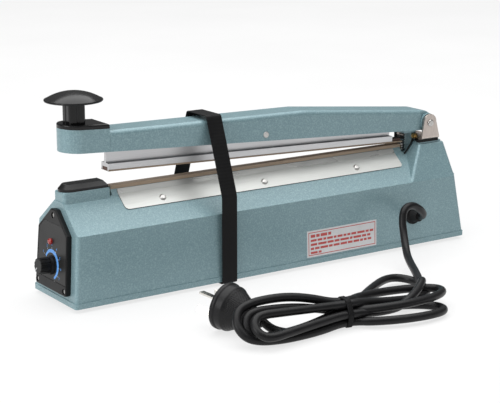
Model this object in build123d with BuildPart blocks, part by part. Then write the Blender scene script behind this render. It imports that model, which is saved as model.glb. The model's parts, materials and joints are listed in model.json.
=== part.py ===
from build123d import *
import math
import os

# Hand impulse heat sealer.  Millimetres.  +X runs along the base to the hinge, +Z is up, the
# control panel is at -X, and the origin is the middle of the base on the surface it stands on.

# ---------------------------------------------------------------- driving dimensions
BASE_LENGTH = 450.0
BASE_WIDTH = 82.0
FOOT_HEIGHT = 3.5
LIP_HEIGHT = 5.0
LIP_STEP = 0.8
WALL = 3.0
SHOULDER_Z = 67.5
SHOULDER_WIDTH = 76.0
FRONT_LEAN = 5.0
REAR_LEAN = 11.5
ROOF_SLOPE = 0.8
RIDGE_FOOT = 7.5
RIDGE_HALF = 4.2

FRONT = -BASE_LENGTH / 2
REAR = BASE_LENGTH / 2
LIP_TOP = FOOT_HEIGHT + LIP_HEIGHT
SHOULDER_HALF = SHOULDER_WIDTH / 2
SHOULDER_FRONT = FRONT + FRONT_LEAN
SHOULDER_REAR = REAR - REAR_LEAN
RIDGE_FOOT_Z = SHOULDER_Z + ROOF_SLOPE * (SHOULDER_HALF - RIDGE_FOOT)
RIDGE_TOP = 99.3
RIDGE_FRONT = -168.5
RIDGE_REAR = 167.0

PIVOT = (193.0, 0.0, 121.5)
PIN_RADIUS = 2.5
RUNNING_FIT = 0.05
JAW_PIVOT = (-7.5, 0.0, 130.7)
JAW_TILT = 1.95
ARM_TILT = 3.1
ARM_HALF = 16.0
HANDLE_X = -200.5

PEDESTAL_TOP = 100.5
REAR_PEDESTAL_TOP = 100.5
PAD_TOP = 102.3
GASKET_TOP = 104.8
BRACKET_SHEET = 2.0
SPRING_X = 173.0

STRAP_X = -66.5
STRAP_WIDTH = 17.0
STRAP_SHEET = 1.2

CORD_DIAMETER = 7.5

os.makedirs("parts", exist_ok=True)


def save(piece, name):
    """Label a finished piece and write it as its own STEP file."""
    piece.part.label = name
    export_step(piece.part, f"parts/{name}.step")


def roof_z(y):
    """Height of the sloping roof at a distance from the centre plane."""
    return SHOULDER_Z + ROOF_SLOPE * (SHOULDER_HALF - abs(y))


def front_x(z):
    """Front face of the base above its lip, which leans back a little."""
    lean = (FRONT_LEAN - LIP_STEP) / (SHOULDER_Z - LIP_TOP)
    return FRONT + LIP_STEP + lean * (z - LIP_TOP)


def box_sketch(x0, x1, y0, y1):
    """A rectangle between two corners, for use inside BuildSketch."""
    with Locations(((x0 + x1) / 2, (y0 + y1) / 2)):
        Rectangle(x1 - x0, y1 - y0)


def block(x0, x1, y0, y1, z0, z1, mode=Mode.ADD):
    """A box between two corners, added to the part that is being built."""
    with BuildSketch(Plane.XY.offset(z0)) as outline:
        box_sketch(x0, x1, y0, y1)
    extrude(outline.sketch, amount=z1 - z0, mode=mode)


def post(x, y, z0, z1, radius, mode=Mode.ADD):
    """An upright cylinder, added to the part that is being built."""
    with BuildSketch(Plane.XY.offset(z0)) as outline:
        with Locations((x, y)):
            Circle(radius)
    extrude(outline.sketch, amount=z1 - z0, mode=mode)


def cross_rod(x, z, y0, y1, radius, mode=Mode.ADD):
    """A cylinder along Y between y0 and y1."""
    with BuildSketch(Plane.XZ.offset(-y0)) as outline:
        with Locations((x, z)):
            Circle(radius)
    extrude(outline.sketch, amount=y0 - y1, mode=mode)


def frustum(low, high, z0, z1, mode=Mode.ADD):
    """A loft between two rectangles, each (x0, x1, half width)."""
    with BuildSketch(Plane.XY.offset(z0)) as bottom:
        box_sketch(low[0], low[1], -low[2], low[2])
    with BuildSketch(Plane.XY.offset(z1)) as top:
        box_sketch(high[0], high[1], -high[2], high[2])
    loft([bottom.sketch, top.sketch], mode=mode)


# Plane of the leaning front face: local x to the viewer's right (-Y), local y up, normal outwards.
FRONT_FACE = Plane(
    origin=(FRONT + LIP_STEP, 0, LIP_TOP),
    x_dir=(0, -1, 0),
    z_dir=(LIP_TOP - SHOULDER_Z, 0, FRONT_LEAN - LIP_STEP),
)

# Plane of the near side face: local x along +X, local y up, normal outwards.
SIDE_FACE = Plane(
    origin=(0, -BASE_WIDTH / 2 + LIP_STEP, LIP_TOP),
    x_dir=(1, 0, 0),
    z_dir=(0, LIP_TOP - SHOULDER_Z, BASE_WIDTH / 2 - LIP_STEP - SHOULDER_HALF),
)

# ---------------------------------------------------------------- base casting
SCREW_BOSSES = [(x, y) for x in (-195, 0, 195) for y in (-34.5, 34.5)]
BOSS_RADIUS = 4.5
PLATE_SHEET = 1.2
PLATE_TOP = FOOT_HEIGHT + PLATE_SHEET
PLATE_SCREW_RADIUS = 1.5
FRONT_PEDESTAL_REAR = -172.0
PEDESTAL_HALF = 9.5
REAR_FOOT_FRONT = 155.0
REAR_TOP_FRONT = 179.5
REAR_TOP_HALF = 20.0
PILLAR = (178.0, 184.0, -8.4, 2.4)
PILLAR_TOP = 111.0
SPRING_POCKET = 4.6
EARTH_X = 181.0
EARTH_Z = 108.0
EARTH_RADIUS = 1.5
EARTH_HOLE = (169.5, -8.5)
KNOB_V = 26.5
POT_BUSH_RADIUS = 3.5
GROMMET = (156.5, 26.0)
GROMMET_RADIUS = 6.0
SWITCH_Y = 10.0
PLUNGER_RADIUS = 1.5
INNER_DROP = WALL * math.sqrt(1 + ROOF_SLOPE**2)
INNER_SHOULDER_HALF = SHOULDER_HALF - WALL
INNER_SHOULDER_Z = roof_z(INNER_SHOULDER_HALF) - INNER_DROP
INNER_TOP_Z = 88.0
INNER_TOP_HALF = SHOULDER_HALF - (INNER_TOP_Z + INNER_DROP - SHOULDER_Z) / ROOF_SLOPE

REAR_SLOPE = 0.03
TOP_ROUND = 1.5


def rear_x(z):
    """Rear face of the base above the shoulder."""
    return SHOULDER_REAR - REAR_SLOPE * (z - SHOULDER_Z)


with BuildPart() as rear_pedestal:
    # tapered block under the hinge
    frustum(
        (REAR_FOOT_FRONT, SHOULDER_REAR, SHOULDER_HALF),
        (REAR_TOP_FRONT, rear_x(REAR_PEDESTAL_TOP), REAR_TOP_HALF),
        SHOULDER_Z,
        REAR_PEDESTAL_TOP,
    )
    high = rear_pedestal.edges().filter_by(lambda edge: edge.center().Z > SHOULDER_Z + 5)
    slanted = high.filter_by(lambda edge: edge.length > 30)
    fillet(slanted.filter_by(Axis.X, reverse=True).filter_by(Axis.Y, reverse=True), radius=3)
    fillet(rear_pedestal.faces().sort_by(Axis.Z)[-1].edges(), radius=TOP_ROUND)

with BuildPart() as front_pedestal:
    # raised block under the front terminal cover, rounded in front
    with BuildSketch(Plane.XY.offset(roof_z(PEDESTAL_HALF) - 4)):
        box_sketch(front_x(PEDESTAL_TOP), FRONT_PEDESTAL_REAR, -PEDESTAL_HALF, PEDESTAL_HALF)
        fillet(vertices().group_by(Axis.X)[0], radius=3)
    extrude(amount=PEDESTAL_TOP - roof_z(PEDESTAL_HALF) + 4)
    fillet(front_pedestal.faces().sort_by(Axis.Z)[-1].edges(), radius=TOP_ROUND)
# rib, slots and pocket of the housing: front, rear, right, left, bottom, top
SWITCH_RIB = (162, 184, 13.3, 16.3, 56, 86)
FRONT_SLOT = (-172, -168.5, -3, 3, 80, 101)
REAR_SLOT = (167, 170, -3, 3, 80, 100)
REAR_POCKET = (164, 183, 4, 15.5, 89.9, 102)

with BuildPart() as base_housing:
    # walls from the lip to the shoulder, with their upright corners rounded
    frustum(
        (FRONT + LIP_STEP, REAR - LIP_STEP, BASE_WIDTH / 2 - LIP_STEP),
        (SHOULDER_FRONT, SHOULDER_REAR, SHOULDER_HALF),
        LIP_TOP,
        SHOULDER_Z,
    )
    # sloping roof up to the foot of the ridge
    frustum(
        (SHOULDER_FRONT, SHOULDER_REAR, SHOULDER_HALF),
        (front_x(RIDGE_FOOT_Z), rear_x(RIDGE_FOOT_Z), RIDGE_FOOT),
        SHOULDER_Z,
        RIDGE_FOOT_Z,
    )
    corners = base_housing.edges().filter_by(lambda edge: 45 < edge.length < 75)
    fillet(corners.filter_by(lambda edge: edge.center().Z < SHOULDER_Z), radius=3)
    add(rear_pedestal.part)
    add(front_pedestal.part)
    # the lip at the bottom
    with BuildSketch(Plane.XY.offset(FOOT_HEIGHT)):
        RectangleRounded(BASE_LENGTH, BASE_WIDTH, 3)
    extrude(amount=LIP_HEIGHT)
    # ridge that carries the heating element
    with BuildSketch(Plane.YZ.offset(RIDGE_FRONT)):
        Polygon(
            (-RIDGE_FOOT, RIDGE_FOOT_Z - 2),
            (RIDGE_FOOT, RIDGE_FOOT_Z - 2),
            (RIDGE_FOOT, RIDGE_FOOT_Z),
            (RIDGE_HALF, 96.8),
            (RIDGE_HALF, RIDGE_TOP),
            (-RIDGE_HALF, RIDGE_TOP),
            (-RIDGE_HALF, 96.8),
            (-RIDGE_FOOT, RIDGE_FOOT_Z),
            align=None,
        )
    extrude(amount=RIDGE_REAR - RIDGE_FRONT)
    # raised pad for the hinge bracket
    with BuildSketch(Plane.XY.offset(REAR_PEDESTAL_TOP)):
        with Locations((195, 0)):
            RectangleRounded(30, 37, 2)
    extrude(amount=PAD_TOP - REAR_PEDESTAL_TOP)
    # pocket for the return spring, then the small pillar between it and the hinge bracket
    post(SPRING_X, 0, RIDGE_FOOT_Z, 110, SPRING_POCKET, mode=Mode.SUBTRACT)
    block(*PILLAR, 80, PILLAR_TOP)
    # hollow inside
    frustum(
        (FRONT + WALL, REAR - WALL, BASE_WIDTH / 2 - WALL),
        (SHOULDER_FRONT + WALL, SHOULDER_REAR - WALL, INNER_SHOULDER_HALF),
        FOOT_HEIGHT,
        INNER_SHOULDER_Z,
        mode=Mode.SUBTRACT,
    )
    frustum(
        (SHOULDER_FRONT + WALL, SHOULDER_REAR - WALL, INNER_SHOULDER_HALF),
        (FRONT + 11, SHOULDER_REAR - WALL - 1, INNER_TOP_HALF),
        INNER_SHOULDER_Z,
        INNER_TOP_Z,
        mode=Mode.SUBTRACT,
    )
    frustum(
        (REAR_FOOT_FRONT + 8, SHOULDER_REAR - WALL, INNER_SHOULDER_HALF),
        (REAR_TOP_FRONT + 4, SHOULDER_REAR - WALL - 1, REAR_TOP_HALF - 4),
        INNER_SHOULDER_Z,
        REAR_PEDESTAL_TOP - WALL,
        mode=Mode.SUBTRACT,
    )
    # bosses for the bottom plate's screws, and the rib that holds the microswitch
    for x, y in SCREW_BOSSES:
        post(x, y, PLATE_TOP, 30, BOSS_RADIUS)
    block(*SWITCH_RIB)
    # screw holes, knob bush, lead entry, terminal slots, plunger hole and the dark pocket at the rear
    for x, y in SCREW_BOSSES:
        post(x, y, PLATE_TOP - 1, 20, PLATE_SCREW_RADIUS, mode=Mode.SUBTRACT)
    with BuildSketch(FRONT_FACE.offset(-WALL - 3)):
        with Locations((0, KNOB_V)):
            Circle(POT_BUSH_RADIUS)
    extrude(amount=WALL + 6, mode=Mode.SUBTRACT)
    with BuildSketch(SIDE_FACE.offset(-WALL - 1)):
        with Locations(GROMMET):
            Circle(GROMMET_RADIUS)
    extrude(amount=WALL + 2, mode=Mode.SUBTRACT)
    for opening in (FRONT_SLOT, REAR_SLOT, REAR_POCKET):
        block(*opening, mode=Mode.SUBTRACT)
    post(SPRING_X, SWITCH_Y, 70, 95, PLUNGER_RADIUS + RUNNING_FIT, mode=Mode.SUBTRACT)
    post(EARTH_HOLE[0], EARTH_HOLE[1], 80, 96, 1.5, mode=Mode.SUBTRACT)
    cross_rod(EARTH_X, EARTH_Z, PILLAR[2] - 1, PILLAR[2] + 4, EARTH_RADIUS, mode=Mode.SUBTRACT)
save(base_housing, "base_housing")

# ---------------------------------------------------------------- bottom plate and feet
PLATE_GAP = 0.4
PLATE_LENGTH = BASE_LENGTH - 2 * (WALL + PLATE_GAP)
PLATE_WIDTH = BASE_WIDTH - 2 * (WALL + PLATE_GAP)
FEET = [(x, y) for x in (-200, 200) for y in (-21, 21)]
FOOT_RADIUS = 6.5
SCREW_HEAD = 1.3

with BuildPart() as base_plate:
    with BuildSketch(Plane.XY.offset(FOOT_HEIGHT)):
        RectangleRounded(PLATE_LENGTH, PLATE_WIDTH, 2)
        with Locations(SCREW_BOSSES):
            Circle(PLATE_SCREW_RADIUS, mode=Mode.SUBTRACT)
    extrude(amount=PLATE_SHEET)
save(base_plate, "base_plate")

with BuildPart() as base_plate_screws:
    for x, y in SCREW_BOSSES:
        post(x, y, FOOT_HEIGHT - SCREW_HEAD, FOOT_HEIGHT, 2.8)
        post(x, y, FOOT_HEIGHT, 14, PLATE_SCREW_RADIUS)
save(base_plate_screws, "base_plate_screws")

with BuildPart() as rubber_feet:
    for x, y in FEET:
        post(x, y, 0, FOOT_HEIGHT, FOOT_RADIUS)
    chamfer(rubber_feet.faces().group_by(Axis.Z)[0].edges(), length=0.8)
save(rubber_feet, "rubber_feet")

# ---------------------------------------------------------------- control panel
PANEL_THICKNESS = 5.0
PANEL_OUTLINE = [(-29.5, 4), (29.5, 4), (27.5, 57.5), (4.5, 77), (-4.5, 77), (-27.5, 57.5)]
DIAL_OUTLINE = [(-27, 13.5), (27, 13.5), (25.4, 56.6), (16.2, 64.4), (-16.2, 64.4), (-25.4, 56.6)]
DIAL_SHEET = 0.8
PANEL_SCREWS = [(-25.3, 8.2), (25.3, 8.2), (0, 71.5)]
LAMP_PLACE = (-2, 47.5)
LAMP_RADIUS = 2.8
SCREW_SINK = 2.5

with BuildPart() as control_panel:
    with BuildSketch(FRONT_FACE):
        Polygon(*PANEL_OUTLINE, align=None)
        fillet(vertices(), radius=3)
    extrude(amount=PANEL_THICKNESS)
    fillet(control_panel.faces().sort_by(Axis.X)[0].edges(), radius=1)
    with BuildSketch(FRONT_FACE.offset(PANEL_THICKNESS - DIAL_SHEET)):
        Polygon(*DIAL_OUTLINE, align=None)
        offset(amount=0.3, kind=Kind.INTERSECTION)
    extrude(amount=DIAL_SHEET + 1, mode=Mode.SUBTRACT)
    with BuildSketch(FRONT_FACE):
        with Locations((0, KNOB_V)):
            Circle(POT_BUSH_RADIUS)
        with Locations(LAMP_PLACE):
            Circle(LAMP_RADIUS)
    extrude(amount=PANEL_THICKNESS, mode=Mode.SUBTRACT)
    with BuildSketch(FRONT_FACE.offset(PANEL_THICKNESS - SCREW_SINK)):
        with Locations(PANEL_SCREWS):
            Circle(2.6)
    extrude(amount=SCREW_SINK + 1, mode=Mode.SUBTRACT)
save(control_panel, "control_panel")

with BuildPart() as dial_plate:
    with BuildSketch(FRONT_FACE.offset(PANEL_THICKNESS - DIAL_SHEET)):
        Polygon(*DIAL_OUTLINE, align=None)
        with Locations((0, KNOB_V)):
            Circle(POT_BUSH_RADIUS, mode=Mode.SUBTRACT)
        with Locations(LAMP_PLACE):
            Circle(LAMP_RADIUS, mode=Mode.SUBTRACT)
    extrude(amount=DIAL_SHEET - 0.2)
save(dial_plate, "dial_plate")

with BuildPart() as panel_screws:
    with BuildSketch(FRONT_FACE.offset(PANEL_THICKNESS - SCREW_SINK)):
        with Locations(PANEL_SCREWS):
            Circle(2.2)
    extrude(amount=1.6)
    outer_faces = panel_screws.faces().filter_by(lambda face: face.normal_at().dot(FRONT_FACE.z_dir) > 0.99)
    fillet(outer_faces.edges(), radius=0.5)
save(panel_screws, "panel_screws")

with BuildPart() as indicator_lamp:
    with BuildSketch(FRONT_FACE):
        with Locations(LAMP_PLACE):
            Circle(LAMP_RADIUS)
    extrude(amount=PANEL_THICKNESS + 2.5)
    fillet(indicator_lamp.edges().sort_by(Axis.X)[0], radius=2)
save(indicator_lamp, "indicator_lamp")

# timer: potentiometer behind the wall, its shaft, and the knob
SHAFT_RADIUS = 3.0
KNOB_FACE = 18.0
KNOB_SKIRT = 8.5
KNOB_RADIUS = 7.2
KNOB_RIBS = 12
KNOB_BASE = PANEL_THICKNESS + 0.4

with BuildPart() as potentiometer:
    with BuildSketch(FRONT_FACE.offset(-WALL - 9)):
        with Locations((0, KNOB_V)):
            Circle(8.5)
    extrude(amount=8.5)
    with BuildSketch(FRONT_FACE.offset(-WALL - 1)):
        with Locations((0, KNOB_V)):
            Circle(POT_BUSH_RADIUS)
    extrude(amount=WALL + 1 + PANEL_THICKNESS - 1)
    with BuildSketch(FRONT_FACE.offset(-WALL - 7)):
        with Locations((0, KNOB_V)):
            Circle(SHAFT_RADIUS + RUNNING_FIT)
    extrude(amount=30, mode=Mode.SUBTRACT)
save(potentiometer, "potentiometer")

with BuildPart() as potentiometer_shaft:
    with BuildSketch(FRONT_FACE.offset(-WALL - 6)):
        with Locations((0, KNOB_V)):
            Circle(SHAFT_RADIUS)
    extrude(amount=WALL + 6 + PANEL_THICKNESS + 9)
save(potentiometer_shaft, "potentiometer_shaft")

with BuildPart() as timer_knob:
    with BuildSketch(FRONT_FACE.offset(KNOB_BASE)):
        with Locations((0, KNOB_V)):
            Circle(KNOB_SKIRT)
    extrude(amount=2.6, taper=8)
    with BuildSketch(FRONT_FACE.offset(KNOB_BASE + 2.6)):
        with Locations((0, KNOB_V)):
            Circle(KNOB_RADIUS)
            with PolarLocations(KNOB_RADIUS + 0.5, KNOB_RIBS):
                Circle(1.1, mode=Mode.SUBTRACT)
    extrude(amount=KNOB_FACE - KNOB_BASE - 2.6)
    fillet(timer_knob.faces().sort_by(Axis.X)[0].edges(), radius=0.5)
    with BuildSketch(FRONT_FACE):
        with Locations((0, KNOB_V)):
            Circle(SHAFT_RADIUS)
    extrude(amount=PANEL_THICKNESS + 9, mode=Mode.SUBTRACT)
save(timer_knob, "timer_knob")

# ---------------------------------------------------------------- front terminal cover
COVER_REAR = -173.0
COVER_HALF = 9.0
COVER_TIP = -217.5
COVER_EDGE = 2.2
COVER_TOP = 107.0

with BuildPart() as front_terminal_cover:
    with BuildSketch(Plane.XY.offset(PEDESTAL_TOP)):
        with BuildLine():
            Line((COVER_REAR, -COVER_HALF), (COVER_REAR, COVER_HALF))
            Line((COVER_REAR, COVER_HALF), (COVER_TIP + COVER_HALF, COVER_HALF))
            ThreePointArc(
                (COVER_TIP + COVER_HALF, COVER_HALF),
                (COVER_TIP, 0),
                (COVER_TIP + COVER_HALF, -COVER_HALF),
            )
            Line((COVER_TIP + COVER_HALF, -COVER_HALF), (COVER_REAR, -COVER_HALF))
        make_face()
    extrude(amount=COVER_EDGE)
    cover_rise = COVER_TOP - PEDESTAL_TOP - COVER_EDGE
    extrude(front_terminal_cover.faces().sort_by(Axis.Z)[-1], amount=cover_rise, taper=40)
    fillet(front_terminal_cover.faces().sort_by(Axis.Z)[-1].edges(), radius=0.8)
save(front_terminal_cover, "front_terminal_cover")

# ---------------------------------------------------------------- heating element and its ridge
INSULATION_TOP = RIDGE_TOP + 0.4
ELEMENT_TOP = INSULATION_TOP + 0.2
CLOTH_TOP = ELEMENT_TOP + 0.25
CLOTH_HALF = RIDGE_HALF + 0.25
CLOTH_HEM = 97.0
ELEMENT_HALF = 2.0

with BuildPart() as insulation_strip:
    block(RIDGE_FRONT, RIDGE_REAR, -RIDGE_HALF, RIDGE_HALF, RIDGE_TOP, INSULATION_TOP)
save(insulation_strip, "insulation_strip")

with BuildPart() as heating_element:
    # nichrome ribbon along the ridge, turned down at both ends to its terminals
    block(RIDGE_FRONT - 0.2, RIDGE_REAR + 0.2, -ELEMENT_HALF, ELEMENT_HALF, INSULATION_TOP, ELEMENT_TOP)
    block(RIDGE_FRONT - 0.2, RIDGE_FRONT, -ELEMENT_HALF, ELEMENT_HALF, 92, INSULATION_TOP)
    block(RIDGE_REAR, RIDGE_REAR + 0.2, -ELEMENT_HALF, ELEMENT_HALF, 92, INSULATION_TOP)
save(heating_element, "heating_element")

with BuildPart() as front_terminal:
    block(RIDGE_FRONT - 2.4, RIDGE_FRONT - 0.2, -2.5, 2.5, 72, 98)
    block(RIDGE_FRONT - 9, RIDGE_FRONT - 2.4, -2.5, 2.5, 72, 74)
save(front_terminal, "front_terminal")

with BuildPart() as rear_terminal:
    block(RIDGE_REAR + 0.2, RIDGE_REAR + 2.4, -2.5, 2.5, 72, 98)
    block(RIDGE_REAR - 6, RIDGE_REAR + 0.2, -2.5, 2.5, 72, 74)
save(rear_terminal, "rear_terminal")

with BuildPart() as ptfe_cloth:
    with BuildSketch(Plane.YZ.offset(RIDGE_FRONT)):
        box_sketch(-CLOTH_HALF, CLOTH_HALF, CLOTH_HEM, CLOTH_TOP)
        with Locations((0, (CLOTH_HEM + INSULATION_TOP) / 2)):
            Rectangle(2 * RIDGE_HALF, INSULATION_TOP - CLOTH_HEM, mode=Mode.SUBTRACT)
        with Locations((0, (INSULATION_TOP + ELEMENT_TOP) / 2)):
            Rectangle(2 * ELEMENT_HALF, ELEMENT_TOP - INSULATION_TOP, mode=Mode.SUBTRACT)
    extrude(amount=RIDGE_REAR - RIDGE_FRONT)
save(ptfe_cloth, "ptfe_cloth")

# polished clamp plates on both sides of the ridge
CLAMP_FRONT = -162.5
CLAMP_REAR = 157.0
CLAMP_SHEET = 0.8
CLAMP_LOW = 21.6
CLAMP_TOP_Z = 96.4
CLAMP_CORNER = 4.0
CLAMP_SCREW_X = [-121.5, -9.5, 101.5]
CLAMP_SCREW_Y = 16.0
ROOF_ANGLE = math.degrees(math.atan(ROOF_SLOPE))


def ridge_side_y(z):
    """Half width of the ridge's steep side at a height."""
    return RIDGE_FOOT - (RIDGE_FOOT - RIDGE_HALF) * (z - RIDGE_FOOT_Z) / (96.8 - RIDGE_FOOT_Z)


def clamp_plate(side):
    """One bent plate on the roof and up the side of the ridge; side is -1 for near, 1 for far."""
    with BuildPart() as plate:
        with BuildSketch(Plane.YZ.offset(CLAMP_FRONT)):
            with BuildLine():
                Polyline(
                    (side * CLAMP_LOW, roof_z(CLAMP_LOW)),
                    (side * RIDGE_FOOT, RIDGE_FOOT_Z),
                    (side * ridge_side_y(CLAMP_TOP_Z), CLAMP_TOP_Z),
                )
                offset(amount=CLAMP_SHEET, side=Side.LEFT if side < 0 else Side.RIGHT, kind=Kind.INTERSECTION)
            make_face()
        extrude(amount=CLAMP_REAR - CLAMP_FRONT)
        ends = plate.edges().filter_by(lambda e: abs(e.length - CLAMP_SHEET) < 0.01)
        fillet(ends.group_by(Axis.Z)[0], radius=CLAMP_CORNER)
        for x in CLAMP_SCREW_X:
            hole = Cylinder(1.6, 8, rotation=(-side * ROOF_ANGLE, 0, 0), mode=Mode.PRIVATE)
            add(Pos(x, side * CLAMP_SCREW_Y, roof_z(CLAMP_SCREW_Y)) * hole, mode=Mode.SUBTRACT)
    return plate


for side, name in ((-1, "clamp_plate_near"), (1, "clamp_plate_far")):
    save(clamp_plate(side), name)

with BuildPart() as clamp_plate_screws:
    # dome-headed screws square to the roof, three on each side
    for side in (-1, 1):
        roof = Plane(
            origin=(0, side * CLAMP_SCREW_Y, roof_z(CLAMP_SCREW_Y)),
            x_dir=(1, 0, 0),
            z_dir=(0, side * ROOF_SLOPE, 1),
        )
        with BuildSketch(roof.offset(CLAMP_SHEET)):
            with Locations(*[(x, 0) for x in CLAMP_SCREW_X]):
                Circle(3.2)
        extrude(amount=1.7)
    head_edges = clamp_plate_screws.edges().filter_by(lambda e: roof_z(e.center().Y) + 2 < e.center().Z)
    fillet(head_edges, radius=1.4)
save(clamp_plate_screws, "clamp_plate_screws")

# ---------------------------------------------------------------- hinge bracket
BRACKET_FRONT = 182.0
BRACKET_REAR = 206.0
EAR_INNER = 18.6
EAR_OUTER = EAR_INNER + BRACKET_SHEET
EAR_TOP_RADIUS = 8.0
BRACKET_FLOOR = GASKET_TOP + BRACKET_SHEET
NOTCH_REAR = PILLAR[1] + 0.6
NOTCH_LOW = -15.5
NOTCH_HIGH = PILLAR[3] + 0.6
BRACKET_SCREWS = [(198, -11), (198, 11)]
BRACKET_SCREW_RADIUS = 2.0
PIN_HEAD_RADIUS = 3.6

with BuildPart() as hinge_gasket:
    block(BRACKET_FRONT - 3, BRACKET_REAR - 1, -19.5, 19.5, PAD_TOP, GASKET_TOP)
    notch = (BRACKET_FRONT - 4, NOTCH_REAR, NOTCH_LOW, NOTCH_HIGH)
    block(*notch, PAD_TOP - 1, GASKET_TOP + 1, mode=Mode.SUBTRACT)
    with BuildSketch(Plane.XY.offset(PAD_TOP)):
        with Locations(BRACKET_SCREWS):
            Circle(BRACKET_SCREW_RADIUS)
    extrude(amount=GASKET_TOP - PAD_TOP, mode=Mode.SUBTRACT)
save(hinge_gasket, "hinge_gasket")

with BuildPart() as hinge_bracket:
    with BuildSketch(Plane.XZ.offset(-EAR_OUTER)):
        with BuildLine():
            Line((BRACKET_FRONT, GASKET_TOP), (BRACKET_REAR, GASKET_TOP))
            Line((BRACKET_REAR, GASKET_TOP), (PIVOT[0] + EAR_TOP_RADIUS, PIVOT[2] + 1))
            ThreePointArc(
                (PIVOT[0] + EAR_TOP_RADIUS, PIVOT[2] + 1),
                (PIVOT[0], PIVOT[2] + 1 + EAR_TOP_RADIUS),
                (PIVOT[0] - EAR_TOP_RADIUS, PIVOT[2] + 1),
            )
            Line((PIVOT[0] - EAR_TOP_RADIUS, PIVOT[2] + 1), (BRACKET_FRONT, GASKET_TOP))
        make_face()
    extrude(amount=2 * EAR_OUTER)
    with BuildSketch(Plane.YZ.offset(BRACKET_FRONT - 5)):
        with Locations((0, BRACKET_FLOOR + 20)):
            RectangleRounded(2 * EAR_INNER, 40, 1.5)
    extrude(amount=BRACKET_REAR - BRACKET_FRONT + 10, mode=Mode.SUBTRACT)
    outer_bends = hinge_bracket.edges().filter_by(Axis.X).group_by(Axis.Z)[0]
    fillet(outer_bends, radius=2.5)
    block(BRACKET_FRONT - 4, NOTCH_REAR, NOTCH_LOW, NOTCH_HIGH, PAD_TOP, 125, mode=Mode.SUBTRACT)
    cross_rod(PIVOT[0], PIVOT[2], EAR_OUTER + 1, -EAR_OUTER - 1, PIN_RADIUS, mode=Mode.SUBTRACT)
    with BuildSketch(Plane.XY.offset(GASKET_TOP)):
        with Locations(BRACKET_SCREWS):
            Circle(BRACKET_SCREW_RADIUS)
    extrude(amount=BRACKET_SHEET, mode=Mode.SUBTRACT)
save(hinge_bracket, "hinge_bracket")

with BuildPart() as hinge_bracket_screws:
    for x, y in BRACKET_SCREWS:
        post(x, y, PAD_TOP, BRACKET_FLOOR, BRACKET_SCREW_RADIUS)
        post(x, y, BRACKET_FLOOR, BRACKET_FLOOR + 1.8, 3.6)
save(hinge_bracket_screws, "hinge_bracket_screws")

with BuildPart() as hinge_pin:
    cross_rod(PIVOT[0], PIVOT[2], EAR_OUTER + 3, -EAR_OUTER, PIN_RADIUS)
    cross_rod(PIVOT[0], PIVOT[2], -EAR_OUTER, -EAR_OUTER - 1.6, PIN_HEAD_RADIUS)
    fillet(hinge_pin.edges().sort_by(Axis.Y)[0], radius=1.2)
save(hinge_pin, "hinge_pin")

with BuildPart() as hinge_pin_clip:
    cross_rod(PIVOT[0], PIVOT[2], EAR_OUTER + 1.2, EAR_OUTER + 0.2, 4.6)
    cross_rod(PIVOT[0], PIVOT[2], EAR_OUTER + 2, EAR_OUTER, PIN_RADIUS, mode=Mode.SUBTRACT)
save(hinge_pin_clip, "hinge_pin_clip")

# earth bond: screw and nut on the pillar, and a thin lead into the casting
with BuildPart() as earth_screw:
    cross_rod(EARTH_X, EARTH_Z, PILLAR[2] + 4, PILLAR[2] - 5.5, EARTH_RADIUS)
    with BuildSketch(Plane.XZ.offset(-PILLAR[2] + 1.6)):
        with Locations((EARTH_X, EARTH_Z)):
            RegularPolygon(2.9, 6)
    extrude(amount=2.4)
save(earth_screw, "earth_screw")

with BuildPart() as earth_lug:
    cross_rod(EARTH_X, EARTH_Z, PILLAR[2], PILLAR[2] - 1.6, 2.9)
    cross_rod(EARTH_X, EARTH_Z, PILLAR[2], PILLAR[2] - 1.6, EARTH_RADIUS, mode=Mode.SUBTRACT)
save(earth_lug, "earth_lug")

with BuildPart() as earth_lead:
    with BuildLine() as earth_path:
        FilletPolyline(
            (EARTH_X - 0.8, PILLAR[2] - 0.8, EARTH_Z - 3),
            (EARTH_X - 4.4, PILLAR[2] - 1.4, 100.0),
            (EARTH_X - 8, PILLAR[2] - 0.8, 95.0),
            (*EARTH_HOLE, 90.2),
            radius=[3.0, 3.0],
        )
    with BuildSketch(Plane(earth_path.line @ 0, z_dir=earth_path.line % 0)):
        Circle(0.8)
    sweep()
save(earth_lead, "earth_lead")

# ---------------------------------------------------------------- return spring and its guide
SPRING_FOOT = RIDGE_FOOT_Z
SPRING_SEAT_Z = 112.4
SPRING_RADIUS = 2.6
SPRING_WIRE = 0.45

with BuildPart() as spring_guide_pin:
    post(SPRING_X, 0, SPRING_FOOT, SPRING_FOOT + 9, 1.5)
    chamfer(spring_guide_pin.edges().sort_by(Axis.Z)[-1], length=0.5)
save(spring_guide_pin, "spring_guide_pin")

with BuildPart() as return_spring:
    # plain outer shape of the coil, with its open middle
    post(SPRING_X, 0, SPRING_FOOT, SPRING_SEAT_Z, SPRING_RADIUS + SPRING_WIRE)
    post(SPRING_X, 0, SPRING_FOOT, SPRING_SEAT_Z, SPRING_RADIUS - SPRING_WIRE, mode=Mode.SUBTRACT)
save(return_spring, "return_spring")

# ---------------------------------------------------------------- arm
ARM_SLOPE = math.tan(math.radians(ARM_TILT))
ARM_WALL = 3.0
BOSS_X = -200.0
BOSS_REAR = -174.0
BOSS_TOP_Z = 155.9
KINK = (38.0, 149.1)
CREST_FRONT_Z = 152.5
CREST_REAR = (187.0, 134.4)
CREST_ROUND = 4.5
TAIL = (PIVOT[0] + 9.5, PIVOT[2] + 4)
HUB_RADIUS = 9.3
HUB_HALF = 17.4
BUSH_RADIUS = 4.5
ARM_FRONT = BOSS_X - ARM_HALF
NECK_HALF = 14.5
CHANNEL_HALF = 12.5
SEAT_FRONT = 165.0
SEAT_REAR = 180.5
SEAT_TOP = 120.0
BUSH_INNER = 8.0
JAW_PIN_RADIUS = 2.0
BOLT_RADIUS = 3.0
BOLT_SEAT_Z = 150.0


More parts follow.
